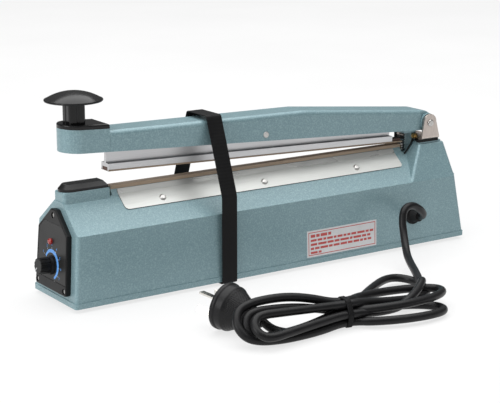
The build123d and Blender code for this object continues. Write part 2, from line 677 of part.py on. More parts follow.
def arm_bottom(x):
    """Lower edge of the arm, which slopes down towards the hinge."""
    return 136.45 - ARM_SLOPE * (x - FRONT)


def boss_top(x):
    """Top of the boss under the handle."""
    return BOSS_TOP_Z - ARM_SLOPE * (x - BOSS_X)


with BuildPart() as arm_casting:
    # long beam with a kink in its top
    with BuildSketch(Plane.XZ.offset(-ARM_HALF)):
        with BuildLine():
            Polyline(
                (PIVOT[0], arm_bottom(PIVOT[0])),
                (BOSS_REAR - 2, arm_bottom(BOSS_REAR - 2)),
                (BOSS_REAR - 2, CREST_FRONT_Z),
                KINK,
                CREST_REAR,
            )
            TangentArc(CREST_REAR, TAIL, tangent=(10, -1))
            Line(TAIL, (PIVOT[0], arm_bottom(PIVOT[0])))
        make_face()
    extrude(amount=2 * ARM_HALF)
    upper_edges = arm_casting.edges().filter_by(lambda e: abs(e.center().Y) > 15 and e.center().Z > 130)
    lengthwise = upper_edges.filter_by(lambda e: e.length > 5 and abs(e.tangent_at(0.5).Y) < 0.1)
    fillet(lengthwise, radius=CREST_ROUND)
    # narrower neck beside the hinge
    for side in (-1, 1):
        with BuildSketch(Plane.XY.offset(100)):
            with Locations((PIVOT[0] + 5, side * (NECK_HALF + 5))):
                Rectangle(28, 10)
        extrude(amount=60, mode=Mode.SUBTRACT)
    cross_rod(PIVOT[0], PIVOT[2], HUB_HALF, -HUB_HALF, HUB_RADIUS)
    # boss under the handle, round in front
    with BuildSketch(Plane.XY.offset(120)):
        with BuildLine():
            Line((BOSS_REAR, -ARM_HALF), (BOSS_REAR, ARM_HALF))
            Line((BOSS_REAR, ARM_HALF), (BOSS_X, ARM_HALF))
            ThreePointArc((BOSS_X, ARM_HALF), (ARM_FRONT, 0), (BOSS_X, -ARM_HALF))
            Line((BOSS_X, -ARM_HALF), (BOSS_REAR, -ARM_HALF))
        make_face()
    extrude(amount=50)
    with BuildSketch(Plane.XZ.offset(-30)):
        Polygon(
            (ARM_FRONT - 5, boss_top(ARM_FRONT - 5)),
            (BOSS_REAR + 1, boss_top(BOSS_REAR + 1)),
            (BOSS_REAR + 1, 180),
            (ARM_FRONT - 5, 180),
            align=None,
        )
        Polygon(
            (ARM_FRONT - 5, arm_bottom(ARM_FRONT - 5)),
            (ARM_FRONT - 5, 110),
            (BOSS_REAR + 1, 110),
            (BOSS_REAR + 1, arm_bottom(BOSS_REAR + 1)),
            align=None,
        )
    extrude(amount=60, mode=Mode.SUBTRACT)
    # channel under the beam for the jaw, and a shallower one for the spring seat
    with BuildSketch(Plane.XZ.offset(-CHANNEL_HALF)):
        Polygon(
            (BOSS_X + 8, 100),
            (BOSS_X + 8, CREST_FRONT_Z - ARM_WALL),
            (KINK[0], KINK[1] - ARM_WALL),
            (SEAT_FRONT, SEAT_TOP + 9),
            (SEAT_FRONT, SEAT_TOP),
            (SEAT_REAR, SEAT_TOP),
            (SEAT_REAR, 100),
            align=None,
        )
    extrude(amount=2 * CHANNEL_HALF, mode=Mode.SUBTRACT)
    post(BOSS_X, 0, 100, BOLT_SEAT_Z, CHANNEL_HALF, mode=Mode.SUBTRACT)
    # bores for the hinge bushes, the jaw pin and the handle bolt
    for side in (-1, 1):
        seat = (side * (HUB_HALF + 1), side * BUSH_INNER)
        cross_rod(PIVOT[0], PIVOT[2], *seat, BUSH_RADIUS, mode=Mode.SUBTRACT)
    cross_rod(PIVOT[0], PIVOT[2], HUB_HALF, -HUB_HALF, PIN_RADIUS + 0.5, mode=Mode.SUBTRACT)
    cross_rod(JAW_PIVOT[0], JAW_PIVOT[2], 20, -20, JAW_PIN_RADIUS, mode=Mode.SUBTRACT)
    post(HANDLE_X, 0, BOLT_SEAT_Z - 1, 170, BOLT_RADIUS, mode=Mode.SUBTRACT)
save(arm_casting, "arm_casting")

with BuildPart() as hinge_bushes:
    for side in (-1, 1):
        cross_rod(PIVOT[0], PIVOT[2], side * HUB_HALF, side * BUSH_INNER, BUSH_RADIUS)
        cross_rod(PIVOT[0], PIVOT[2], side * (HUB_HALF + 0.9), side * HUB_HALF, BUSH_RADIUS + 2)
    cross_rod(PIVOT[0], PIVOT[2], 20, -20, PIN_RADIUS + RUNNING_FIT, mode=Mode.SUBTRACT)
save(hinge_bushes, "hinge_bushes")

with BuildPart() as spring_seat:
    block(SEAT_FRONT, SEAT_REAR, -CHANNEL_HALF, CHANNEL_HALF, SPRING_SEAT_Z, SEAT_TOP)
save(spring_seat, "spring_seat")

with BuildPart() as jaw_pin:
    cross_rod(JAW_PIVOT[0], JAW_PIVOT[2], ARM_HALF, -ARM_HALF, JAW_PIN_RADIUS)
    for side in (-1, 1):
        cross_rod(JAW_PIVOT[0], JAW_PIVOT[2], side * ARM_HALF, side * (ARM_HALF + 1.2), 3.0)
    fillet(jaw_pin.edges().group_by(Axis.Y)[0], radius=0.8)
    fillet(jaw_pin.edges().group_by(Axis.Y)[-1], radius=0.8)
save(jaw_pin, "jaw_pin")

# ---------------------------------------------------------------- handle
HANDLE_PLATE = 4.2
STEM_SIZE = 16.0
CAP_UNDER = 179.4
CAP_RIM = 180.4
CAP_TOP = 188.5
CAP_RADIUS = 26.0
BOLT_END = 184.0
DOME_EDGE = (CAP_RADIUS - 1.2, CAP_RIM + 1.1)
DOME_RISE = CAP_TOP - DOME_EDGE[1]
DOME_RADIUS = (DOME_EDGE[0] ** 2 + DOME_RISE**2) / (2 * DOME_RISE)
DOME_MIDDLE = (DOME_EDGE[0] / 2, CAP_TOP - DOME_RADIUS + math.sqrt(DOME_RADIUS**2 - DOME_EDGE[0] ** 2 / 4))

with BuildPart() as handle_base:
    with BuildSketch(Plane.XY.offset(140)):
        with BuildLine():
            Line((BOSS_REAR, -ARM_HALF), (BOSS_REAR, ARM_HALF))
            Line((BOSS_REAR, ARM_HALF), (BOSS_X, ARM_HALF))
            ThreePointArc((BOSS_X, ARM_HALF), (ARM_FRONT, 0), (BOSS_X, -ARM_HALF))
            Line((BOSS_X, -ARM_HALF), (BOSS_REAR, -ARM_HALF))
        make_face()
    extrude(amount=40)
    with BuildSketch(Plane.XZ.offset(-20)):
        Polygon(
            (ARM_FRONT - 1, boss_top(ARM_FRONT - 1)),
            (BOSS_REAR + 1, boss_top(BOSS_REAR + 1)),
            (BOSS_REAR + 1, boss_top(BOSS_REAR + 1) + HANDLE_PLATE),
            (ARM_FRONT - 1, boss_top(ARM_FRONT - 1) + HANDLE_PLATE),
            align=None,
        )
    extrude(amount=40, mode=Mode.INTERSECT)
    fillet(handle_base.faces().sort_by(Axis.Z)[-1].edges(), radius=1.5)
    post(HANDLE_X, 0, 140, 180, BOLT_RADIUS, mode=Mode.SUBTRACT)
save(handle_base, "handle_base")

with BuildPart() as handle_stem:
    with BuildSketch(Plane.XY.offset(150)):
        with Locations((HANDLE_X, 0)):
            RectangleRounded(STEM_SIZE, STEM_SIZE, 3)
            with PolarLocations(STEM_SIZE / 2 + 1.4, 4):
                Circle(2, mode=Mode.SUBTRACT)
    extrude(amount=CAP_UNDER - 150)
    with BuildSketch(Plane.XZ.offset(-20)):
        Polygon(
            (ARM_FRONT - 1, 140),
            (BOSS_REAR + 1, 140),
            (BOSS_REAR + 1, boss_top(BOSS_REAR + 1) + HANDLE_PLATE),
            (ARM_FRONT - 1, boss_top(ARM_FRONT - 1) + HANDLE_PLATE),
            align=None,
        )
    extrude(amount=40, mode=Mode.SUBTRACT)
    post(HANDLE_X, 0, 140, 190, BOLT_RADIUS, mode=Mode.SUBTRACT)
save(handle_stem, "handle_stem")

with BuildPart() as handle_cap:
    # flat mushroom cap with the bolt's blind hole in it
    with BuildSketch(Plane(origin=(HANDLE_X, 0, 0), x_dir=(1, 0, 0), z_dir=(0, -1, 0))):
        with BuildLine():
            Polyline(
                (0, CAP_TOP),
                (0, BOLT_END),
                (BOLT_RADIUS, BOLT_END),
                (BOLT_RADIUS, CAP_UNDER),
                (CAP_RADIUS - 1.5, CAP_UNDER),
            )
            ThreePointArc((CAP_RADIUS - 1.5, CAP_UNDER), (CAP_RADIUS, CAP_RIM), DOME_EDGE)
            ThreePointArc(DOME_EDGE, DOME_MIDDLE, (0, CAP_TOP))
        make_face()
    revolve(axis=Axis((HANDLE_X, 0, 0), (0, 0, 1)))
save(handle_cap, "handle_cap")

with BuildPart() as handle_bolt:
    post(HANDLE_X, 0, BOLT_SEAT_Z - 4, BOLT_SEAT_Z, 5)
    post(HANDLE_X, 0, BOLT_SEAT_Z, BOLT_END, BOLT_RADIUS)
save(handle_bolt, "handle_bolt")

# ---------------------------------------------------------------- sealing jaw
JAW_HALF_LENGTH = 163.0
JAW_WEB_HALF = 1.75
JAW_WEB_TOP = 4.5
JAW_FLANGE_HALF = 6.75
JAW_FLANGE_TOP = -15.4
JAW_FLANGE_BOTTOM = -21.8
JAW_GROOVE_HALF = 4.6
JAW_GROOVE_TOP = -18.8
STRIP_BOTTOM = -22.05
TAPE = 0.25
STRIP_REAR = 175.5

tilt = math.radians(JAW_TILT)
JAW_AXIS = Vector(math.cos(tilt), 0, -math.sin(tilt))


def jaw_section(along):
    """Plane across the jaw: local x is +Y, local y is the jaw's own up, measured from its pin."""
    return Plane(origin=Vector(*JAW_PIVOT) + JAW_AXIS * along, x_dir=(0, 1, 0), z_dir=JAW_AXIS)


with BuildPart() as jaw_extrusion:
    with BuildSketch(jaw_section(-JAW_HALF_LENGTH)):
        box_sketch(-JAW_WEB_HALF, JAW_WEB_HALF, JAW_FLANGE_TOP - 1, JAW_WEB_TOP)
        box_sketch(-JAW_FLANGE_HALF, JAW_FLANGE_HALF, JAW_FLANGE_BOTTOM, JAW_FLANGE_TOP)
        with Locations((0, (JAW_GROOVE_TOP + JAW_FLANGE_BOTTOM) / 2)):
            Rectangle(2 * JAW_GROOVE_HALF, JAW_GROOVE_TOP - JAW_FLANGE_BOTTOM, mode=Mode.SUBTRACT)
    extrude(amount=2 * JAW_HALF_LENGTH)
    cross_rod(JAW_PIVOT[0], JAW_PIVOT[2], 5, -5, JAW_PIN_RADIUS + RUNNING_FIT, mode=Mode.SUBTRACT)
save(jaw_extrusion, "jaw_extrusion")

with BuildPart() as silicone_strip:
    with BuildSketch(jaw_section(-JAW_HALF_LENGTH)):
        box_sketch(-JAW_GROOVE_HALF, JAW_GROOVE_HALF, STRIP_BOTTOM, JAW_GROOVE_TOP)
    extrude(amount=JAW_HALF_LENGTH + STRIP_REAR)
save(silicone_strip, "silicone_strip")

with BuildPart() as jaw_tape:
    with BuildSketch(jaw_section(-JAW_HALF_LENGTH)):
        box_sketch(-JAW_FLANGE_HALF - TAPE, JAW_FLANGE_HALF + TAPE, STRIP_BOTTOM - TAPE, STRIP_BOTTOM + 1.2)
        with Locations((0, STRIP_BOTTOM + 0.6)):
            Rectangle(2 * JAW_FLANGE_HALF, 1.2, mode=Mode.SUBTRACT)
    extrude(amount=JAW_HALF_LENGTH + STRIP_REAR + 0.5)
save(jaw_tape, "jaw_tape")

# ---------------------------------------------------------------- inside the base
TRANSFORMER_X = 60.0
CORE_LENGTH = 66.0
CORE_DEPTH = 30.0
CORE_HEIGHT = 50.0
WINDOW = 11.0
TRANSFORMER_Z = PLATE_TOP + 1.5
CORE_Z = TRANSFORMER_Z + CORE_HEIGHT / 2
WINDOW_HEIGHT = CORE_HEIGHT - 2 * WINDOW
WINDOW_X = 16.5

with BuildPart() as transformer_core:
    with BuildSketch(Plane.XZ.offset(-CORE_DEPTH / 2)):
        with Locations((TRANSFORMER_X, CORE_Z)):
            Rectangle(CORE_LENGTH, CORE_HEIGHT)
        with Locations((TRANSFORMER_X - WINDOW_X, CORE_Z), (TRANSFORMER_X + WINDOW_X, CORE_Z)):
            Rectangle(WINDOW, WINDOW_HEIGHT, mode=Mode.SUBTRACT)
    extrude(amount=CORE_DEPTH)
save(transformer_core, "transformer_core")

with BuildPart() as transformer_coil:
    with BuildSketch(Plane.XY.offset(CORE_Z - WINDOW_HEIGHT / 2 + 0.5)):
        with Locations((TRANSFORMER_X, 0)):
            RectangleRounded(2 * (WINDOW_X + WINDOW / 2) - 1, 48, 3)
            Rectangle(2 * (WINDOW_X - WINDOW / 2), CORE_DEPTH, mode=Mode.SUBTRACT)
    extrude(amount=WINDOW_HEIGHT - 1)
save(transformer_coil, "transformer_coil")

with BuildPart() as transformer_bracket:
    # foot plate under the core with two screw ears
    block(TRANSFORMER_X - 44, TRANSFORMER_X + 44, -12, 12, PLATE_TOP, TRANSFORMER_Z)
    for x in (TRANSFORMER_X - CORE_LENGTH / 2 - 1.5, TRANSFORMER_X + CORE_LENGTH / 2):
        block(x, x + 1.5, -12, 12, TRANSFORMER_Z, TRANSFORMER_Z + CORE_HEIGHT)
save(transformer_bracket, "transformer_bracket")

BOARD_Z = 20.0
BOARD_FRONT = -196.0
BOARD_REAR = -126.0
BOARD_HALF = 24.0

with BuildPart() as timer_board:
    block(BOARD_FRONT, BOARD_REAR, -BOARD_HALF, BOARD_HALF, BOARD_Z, BOARD_Z + 1.6)
    for x in (BOARD_FRONT + 5, BOARD_REAR - 5):
        for y in (-BOARD_HALF + 5, BOARD_HALF - 5):
            post(x, y, PLATE_TOP, BOARD_Z, 2.5)
save(timer_board, "timer_board")

with BuildPart() as timer_relay:
    block(-160, -141, -8, 8, BOARD_Z + 1.6, BOARD_Z + 17)
save(timer_relay, "timer_relay")

with BuildPart() as board_capacitor:
    post(-175, 12, BOARD_Z + 1.6, BOARD_Z + 20, 5)
save(board_capacitor, "board_capacitor")

with BuildPart() as terminal_block:
    block(120, 145, -8, 8, PLATE_TOP, PLATE_TOP + 12)
save(terminal_block, "terminal_block")

SWITCH_TOP = 78.0
PLUNGER_TOP = 111.5

with BuildPart() as microswitch_body:
    block(163, 183, SWITCH_Y - 3.3, SWITCH_Y + 3.3, SWITCH_TOP - 10, SWITCH_TOP)
    post(SPRING_X, SWITCH_Y, SWITCH_TOP - 6, SWITCH_TOP, PLUNGER_RADIUS + RUNNING_FIT, mode=Mode.SUBTRACT)
save(microswitch_body, "microswitch_body")

with BuildPart() as switch_plunger:
    post(SPRING_X, SWITCH_Y, SWITCH_TOP - 3, PLUNGER_TOP, PLUNGER_RADIUS)
    fillet(switch_plunger.edges().sort_by(Axis.Z)[-1], radius=0.6)
save(switch_plunger, "switch_plunger")

# ---------------------------------------------------------------- label and transport strap
LABEL_X = 67.0
LABEL_V = 15.0
LABEL_LENGTH = 85.0
LABEL_HEIGHT = 26.0
LABEL_SHEET = 0.25

with BuildPart() as side_label:
    with BuildSketch(SIDE_FACE):
        with Locations((LABEL_X, LABEL_V)):
            Rectangle(LABEL_LENGTH, LABEL_HEIGHT)
    extrude(amount=LABEL_SHEET)
save(side_label, "side_label")

STRAP_OUTLINE = [(17.0, 156.4), (43.3, 84.0), (43.3, 1.6), (-43.3, 1.6), (-43.3, 84.0), (-17.0, 156.4)]

with BuildPart() as transport_strap:
    with BuildSketch(Plane.YZ.offset(STRAP_X - STRAP_WIDTH / 2)):
        Polygon(*STRAP_OUTLINE, align=None)
        fillet(vertices(), radius=1.8)
        with BuildLine():
            Polyline(*STRAP_OUTLINE, close=True)
            offset(amount=-STRAP_SHEET, kind=Kind.INTERSECTION, mode=Mode.REPLACE)
        make_face(mode=Mode.SUBTRACT)
    extrude(amount=STRAP_WIDTH)
save(transport_strap, "transport_strap")

# ---------------------------------------------------------------- mains lead, its hank and its plug
CORD_RADIUS = CORD_DIAMETER / 2
RELIEF_OUT = 10.8
RELIEF_IN = 10.0
CORD_ROUTE = [
    (156.5, -50.0, 34.9),
    (155.0, -58.5, 37.5),
    (146.0, -64.0, 46.0),
    (133.0, -66.0, 53.5),
    (120.5, -68.0, 52.0),
    (115.5, -71.5, 41.0),
    (113.0, -77.5, 29.0),
    (107.5, -87.0, 19.5),
    (99.0, -100.0, 14.5),
    (89.5, -116.0, 12.8),
    (79.0, -134.0, 12.2),
    (67.5, -152.5, 11.9),
    (55.0, -170.0, 10.5),
]
TIE = (-52.0, -197.0)
HANK_TURN = -9.0
HANK_FLOOR = 0.4
LEFT_TOP = 31.0
RIGHT_TOP = 17.5
LEFT_OUTLINE = [
    (8, 12),
    (-14, 33),
    (-34, 40),
    (-56, 38),
    (-80, 24),
    (-102, 8),
    (-104, -8),
    (-88, -22),
    (-60, -27),
    (-30, -22),
    (8, -12),
]
RIGHT_OUTLINE = [
    (-8, 12),
    (26, 26),
    (58, 62),
    (88, 87),
    (110, 80),
    (115, 50),
    (106, 20),
    (99, -4),
    (88, -20),
    (56, -24),
    (22, -20),
    (-8, -12),
]
TIE_HALF = 3.0
TIE_INSIDE = (12.6, 1.4, 25.0)
TIE_BAND = 1.0
PLUG_FACE = Vector(-140.5, -145.5, 21.2)
PLUG_AXIS = Vector(0.31, -0.94, -0.15).normalized()
PLUG_SIDE = PLUG_AXIS.cross(Vector(0, 0, 1)).normalized()
PIN_CIRCLE = 11.0
PIN_ANGLES = [-50, 42, 170]
PIN_TURNS = [80, 53, 0]
PIN_LENGTHS = [21.5, 18.5, 18.5]

with BuildPart() as cord_grommet:
    # strain relief: inner collar, neck in the wall, outer flange and a tapered nose
    with BuildSketch(SIDE_FACE.offset(-WALL - RELIEF_IN)):
        with Locations(GROMMET):
            Circle(7.6)
    extrude(amount=RELIEF_IN)
    with BuildSketch(SIDE_FACE.offset(-WALL)):
        with Locations(GROMMET):
            Circle(GROMMET_RADIUS)
    extrude(amount=WALL)
    with BuildSketch(SIDE_FACE):
        with Locations(GROMMET):
            Circle(9.4)
    extrude(amount=2.6)
    fillet(cord_grommet.edges().sort_by(Axis.Y)[0], radius=1.2)
    with BuildSketch(SIDE_FACE.offset(2.6)):
        with Locations(GROMMET):
            Circle(7.0)
    extrude(amount=RELIEF_OUT - 2.6, taper=12)
    with BuildSketch(SIDE_FACE.offset(-WALL - RELIEF_IN)):
        with Locations(GROMMET):
            Circle(CORD_RADIUS)
    extrude(amount=RELIEF_IN + WALL, mode=Mode.SUBTRACT)
save(cord_grommet, "cord_grommet")

with BuildPart() as plug_body:
    # round plug: flange, drum, ribbed cone and a short sleeve round the cord
    with BuildSketch(Plane(origin=PLUG_FACE, x_dir=PLUG_SIDE, z_dir=PLUG_SIDE.cross(PLUG_AXIS))):
        Polygon(
            (0, 0),
            (19.9, 0),
            (20.7, 0.8),
            (20.7, 4),
            (19.8, 4.6),
            (19.8, 11),
            (18.6, 12.2),
            (8.5, 32),
            (6.6, 34),
            (5.2, 42),
            (0, 42),
            align=None,
        )
    revolve(axis=Axis(PLUG_FACE, PLUG_AXIS))
save(plug_body, "plug_body")

with BuildPart() as plug_pins:
    # three flat pins, the longest one for earth
    for angle, turn, length in zip(PIN_ANGLES, PIN_TURNS, PIN_LENGTHS):
        with BuildSketch(Plane(origin=PLUG_FACE, x_dir=PLUG_SIDE, z_dir=-PLUG_AXIS)):
            with Locations(Rot(0, 0, angle) * Pos(PIN_CIRCLE, 0, 0) * Rot(0, 0, turn)):
                Rectangle(1.6, 6.3)
        extrude(amount=length)
save(plug_pins, "plug_pins")

HANK_PLANE = Plane(
    origin=(*TIE, HANK_FLOOR),
    x_dir=(math.cos(math.radians(HANK_TURN)), math.sin(math.radians(HANK_TURN)), 0),
    z_dir=(0, 0, 1),
)

with BuildPart() as cord_tie:
    with BuildSketch(Plane(origin=HANK_PLANE.origin, x_dir=HANK_PLANE.y_dir, z_dir=HANK_PLANE.x_dir)):
        half, low, high = TIE_INSIDE
        with Locations((0, (low + high) / 2 - HANK_FLOOR)):
            RectangleRounded(2 * (half + TIE_BAND), high - low + 2 * TIE_BAND, 5)
            RectangleRounded(2 * half, high - low, 4, mode=Mode.SUBTRACT)
    extrude(amount=TIE_HALF, both=True)
save(cord_tie, "cord_tie")

with BuildPart() as cord_hank:
    # outer shape of the tied turns: the left loops lean on the plug, the right ones lie flatter
    for outline, top in ((LEFT_OUTLINE, LEFT_TOP), (RIGHT_OUTLINE, RIGHT_TOP)):
        with BuildSketch(HANK_PLANE):
            with BuildLine():
                Spline(*outline)
                Line(outline[-1], outline[0])
            make_face()
        extrude(amount=top - HANK_FLOOR)
    # the waist under the tie fits its inside
    with BuildSketch(Plane(origin=HANK_PLANE.origin, x_dir=HANK_PLANE.y_dir, z_dir=HANK_PLANE.x_dir)):
        Rectangle(80, 120)
        with Locations((0, (low + high) / 2 - HANK_FLOOR)):
            RectangleRounded(2 * half, high - low, 4, mode=Mode.SUBTRACT)
    extrude(amount=8, both=True, mode=Mode.SUBTRACT)
    add(plug_body.part, mode=Mode.SUBTRACT)
save(cord_hank, "cord_hank")


def corner_radii(route):
    """Radius of each corner's arc: 0.45 of the shorter run, divided by the tangent of half the turn."""
    points = [Vector(*point) for point in route]
    radii = []
    for before, corner, after in zip(points, points[1:], points[2:]):
        run_in = corner - before
        run_out = after - corner
        half_turn = math.radians(run_in.get_angle(run_out)) / 2
        radii.append(0.45 * min(run_in.length, run_out.length) / math.tan(half_turn))
    return radii


with BuildPart() as cord_lead:
    radii = corner_radii(CORD_ROUTE)
    with BuildLine() as cord_path:
        FilletPolyline(*CORD_ROUTE, radius=radii)
    with BuildSketch(Plane(origin=cord_path.line @ 0, z_dir=cord_path.line % 0)):
        Circle(CORD_RADIUS)
    sweep()
    print("cord radii", [round(radius, 1) for radius in radii])
    cord_length = sum(edge.length for edge in cord_path.edges())
    print("cord volume", round(cord_lead.part.volume), round(math.pi * CORD_RADIUS**2 * cord_length))
    add(cord_hank.part, mode=Mode.SUBTRACT)
    add(cord_grommet.part, mode=Mode.SUBTRACT)
save(cord_lead, "cord_lead")
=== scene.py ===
import math
import random

import bpy
from mathutils import Matrix, Vector
from mathutils.geometry import convex_hull_2d
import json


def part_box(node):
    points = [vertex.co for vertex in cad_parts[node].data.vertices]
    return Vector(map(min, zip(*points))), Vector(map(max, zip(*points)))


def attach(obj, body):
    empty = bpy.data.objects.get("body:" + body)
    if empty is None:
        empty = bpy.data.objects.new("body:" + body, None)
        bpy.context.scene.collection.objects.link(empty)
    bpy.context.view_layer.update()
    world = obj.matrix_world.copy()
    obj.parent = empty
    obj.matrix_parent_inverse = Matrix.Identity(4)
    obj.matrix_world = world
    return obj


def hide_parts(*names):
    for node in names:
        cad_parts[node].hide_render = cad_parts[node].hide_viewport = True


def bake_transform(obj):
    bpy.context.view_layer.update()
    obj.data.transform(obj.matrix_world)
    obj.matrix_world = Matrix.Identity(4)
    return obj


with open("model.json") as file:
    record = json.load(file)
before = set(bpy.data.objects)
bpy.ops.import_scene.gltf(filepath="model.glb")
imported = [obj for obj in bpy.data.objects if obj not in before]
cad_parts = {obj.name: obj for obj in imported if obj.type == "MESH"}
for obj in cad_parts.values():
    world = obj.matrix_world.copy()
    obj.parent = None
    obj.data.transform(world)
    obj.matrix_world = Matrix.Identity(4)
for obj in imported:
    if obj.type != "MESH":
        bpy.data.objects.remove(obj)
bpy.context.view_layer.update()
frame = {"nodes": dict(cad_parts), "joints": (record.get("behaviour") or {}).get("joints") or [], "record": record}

MM = 0.001
NODES = frame["nodes"]
RECORD = frame["record"]
JOINTS = {joint["name"]: joint for joint in frame["joints"]}


# ------------------------------------------------------------------ helpers for shader nodes
class Shader:
    """A Principled material with short calls for the nodes in front of it."""

    def __init__(self, name):
        self.material = bpy.data.materials.new(name)
        self.material.use_nodes = True
        self.tree = self.material.node_tree
        self.bsdf = self.tree.nodes["Principled BSDF"]
        coords = self.tree.nodes.new("ShaderNodeTexCoord")
        self.position = coords.outputs["Object"]

    def link(self, source, target):
        self.tree.links.new(source, target)

    def stretched(self, scale, turn=(0, 0, 0)):
        mapping = self.tree.nodes.new("ShaderNodeMapping")
        mapping.inputs["Scale"].default_value = scale
        mapping.inputs["Rotation"].default_value = turn
        self.link(self.position, mapping.inputs["Vector"])
        return mapping.outputs["Vector"]

    def noise(self, scale, detail=3.0, vector=None, roughness=0.55):
        node = self.tree.nodes.new("ShaderNodeTexNoise")
        node.inputs["Scale"].default_value = scale
        node.inputs["Detail"].default_value = detail
        node.inputs["Roughness"].default_value = roughness
        self.link(vector or self.position, node.inputs["Vector"])
        return node.outputs["Fac"]

    def cells(self, scale, vector=None, smoothness=0.6):
        node = self.tree.nodes.new("ShaderNodeTexVoronoi")
        node.feature = "SMOOTH_F1"
        node.inputs["Scale"].default_value = scale
        node.inputs["Smoothness"].default_value = smoothness
        self.link(vector or self.position, node.inputs["Vector"])
        return node.outputs["Distance"]

    def bands(self, scale, direction, vector=None, distortion=0.0):
        node = self.tree.nodes.new("ShaderNodeTexWave")
        node.bands_direction = direction
        node.inputs["Scale"].default_value = scale
        node.inputs["Distortion"].default_value = distortion
        self.link(vector or self.position, node.inputs["Vector"])
        return node.outputs["Fac"]

    def blend(self, operation, first, second, factor=None):
        node = self.tree.nodes.new("ShaderNodeMath")
        node.operation = operation
        for socket, value in zip(node.inputs, (first, second, factor)):
            if value is None:
                continue
            if isinstance(value, (int, float)):
                socket.default_value = value
            else:
                self.link(value, socket)
        return node.outputs["Value"]

    def spread(self, value, low, high, from_low=0.3, from_high=0.7):
        node = self.tree.nodes.new("ShaderNodeMapRange")
        node.inputs["From Min"].default_value = from_low
        node.inputs["From Max"].default_value = from_high
        node.inputs["To Min"].default_value = low
        node.inputs["To Max"].default_value = high
        self.link(value, node.inputs["Value"])
        return node.outputs["Result"]

    def ramp(self, value, stops):
        node = self.tree.nodes.new("ShaderNodeValToRGB")
        elements = node.color_ramp.elements
        while len(elements) < len(stops):
            elements.new(0.5)
        for element, (place, colour) in zip(elements, stops):
            element.position = place
            element.color = (*colour, 1)
        self.link(value, node.inputs["Fac"])
        return node.outputs["Color"]

    def colour(self, value, stops):
        self.link(self.ramp(value, stops), self.bsdf.inputs["Base Color"])

    def roughness(self, value, low, high):
        self.link(self.spread(value, low, high), self.bsdf.inputs["Roughness"])

    def bump(self, height, depth, strength=1.0, after=None):
        node = self.tree.nodes.new("ShaderNodeBump")
        node.inputs["Strength"].default_value = strength
        node.inputs["Distance"].default_value = depth
        self.link(height, node.inputs["Height"])
        if after is not None:
            self.link(after, node.inputs["Normal"])
        self.link(node.outputs["Normal"], self.bsdf.inputs["Normal"])
        return node.outputs["Normal"]

    def fixed(self, **values):
        for name, value in values.items():
            self.bsdf.inputs[name.replace("_", " ")].default_value = value


# ------------------------------------------------------------------ camera
CAMERA_PLACE = (-0.77577, -1.11862, 0.39478)
CAMERA_AZIMUTH = -34.23
CAMERA_ELEVATION = 13.75
LENS = 104.6
SENSOR = 36.0

camera_data = bpy.data.cameras.new("camera")
camera_data.lens = LENS
camera_data.sensor_width = SENSOR
camera = bpy.data.objects.new("camera", camera_data)
bpy.context.scene.collection.objects.link(camera)
camera.location = CAMERA_PLACE
camera.rotation_euler = (math.radians(90 - CAMERA_ELEVATION), 0, math.radians(CAMERA_AZIMUTH))
bpy.context.scene.camera = camera


# ------------------------------------------------------------------ mains lead
CORD_DIAMETER = 0.0075
FLOOR_GAP = 0.0042
LEAD_ROUTE = [
    (0.1565, -0.0500, 0.0349),
    (0.1550, -0.0585, 0.0375),
    (0.1460, -0.0640, 0.0460),
    (0.1330, -0.0660, 0.0535),
    (0.1205, -0.0680, 0.0520),
    (0.1155, -0.0715, 0.0410),
    (0.1130, -0.0775, 0.0290),
    (0.1075, -0.0870, 0.0195),
    (0.0990, -0.1000, 0.0145),
    (0.0895, -0.1160, 0.0128),
    (0.0790, -0.1340, 0.0122),
    (0.0675, -0.1525, 0.0119),
    (0.0550, -0.1700, 0.0105),
    (0.0500, -0.1785, 0.0200),
    (0.0380, -0.1885, 0.0172),
    (0.0210, -0.1985, 0.0140),
    (0.0010, -0.2055, 0.0095),
    (-0.0220, -0.2075, 0.0100),
]
LAST_RUN = [
    (-0.0760, -0.1920, 0.0044),
    (-0.0910, -0.1960, 0.0042),
    (-0.1050, -0.1985, 0.0045),
    (-0.1170, -0.1965, 0.0070),
    (-0.1250, -0.1900, 0.0105),
    (-0.1275, -0.1849, 0.0149),
]
TIE_MIDDLE = (-0.052, -0.197)
HANK_TURN = math.radians(-9)
TIE_HALF = 0.008
LOBE_POINTS = 9
# per loop left of the tie: reach, tip radius, across, height, tilt of its plane in degrees, bulge of its runs
LEFT_LOBES = [
    (0.0825, -0.0115, -0.0205, 0.0180, 39, 0.0),
    (0.0855, 0.0115, -0.0095, 0.0165, 54, 0.003),
    (0.0880, 0.0170, -0.0085, 0.0185, 49, 0.006),
]
RUN_POINTS = 4
TIP_POINTS = 5
# per loop right of the tie: reach, far swing, near swing, tip offset, tip height, rise, roundness, lean
RIGHT_LOBES = [
    (0.108, 0.074, 0.032, 0.055, 0.0042, 0.0, 2.0, 0.15),
    (0.104, 0.024, 0.026, 0.024, 0.0118, -0.1, 0.3, 0.0),
    (0.089, 0.024, 0.021, -0.004, 0.0042, -0.1, 0.2, 0.0),
]
# where each strand crosses the tie: (across, up)
FIRST_STRAND = (-0.008, 0.0130)
NEAR_STRANDS = [(-0.0035, 0.0206), (0.0, 0.0130), (-0.006, 0.0054)]
FAR_STRANDS = [(0.008, 0.0130), (0.0045, 0.0206), (0.004, 0.0054)]


def hank_point(along, across, up):
    x = TIE_MIDDLE[0] + along * math.cos(HANK_TURN) - across * math.sin(HANK_TURN)
    y = TIE_MIDDLE[1] + along * math.sin(HANK_TURN) + across * math.cos(HANK_TURN)
    return (x, y, up)


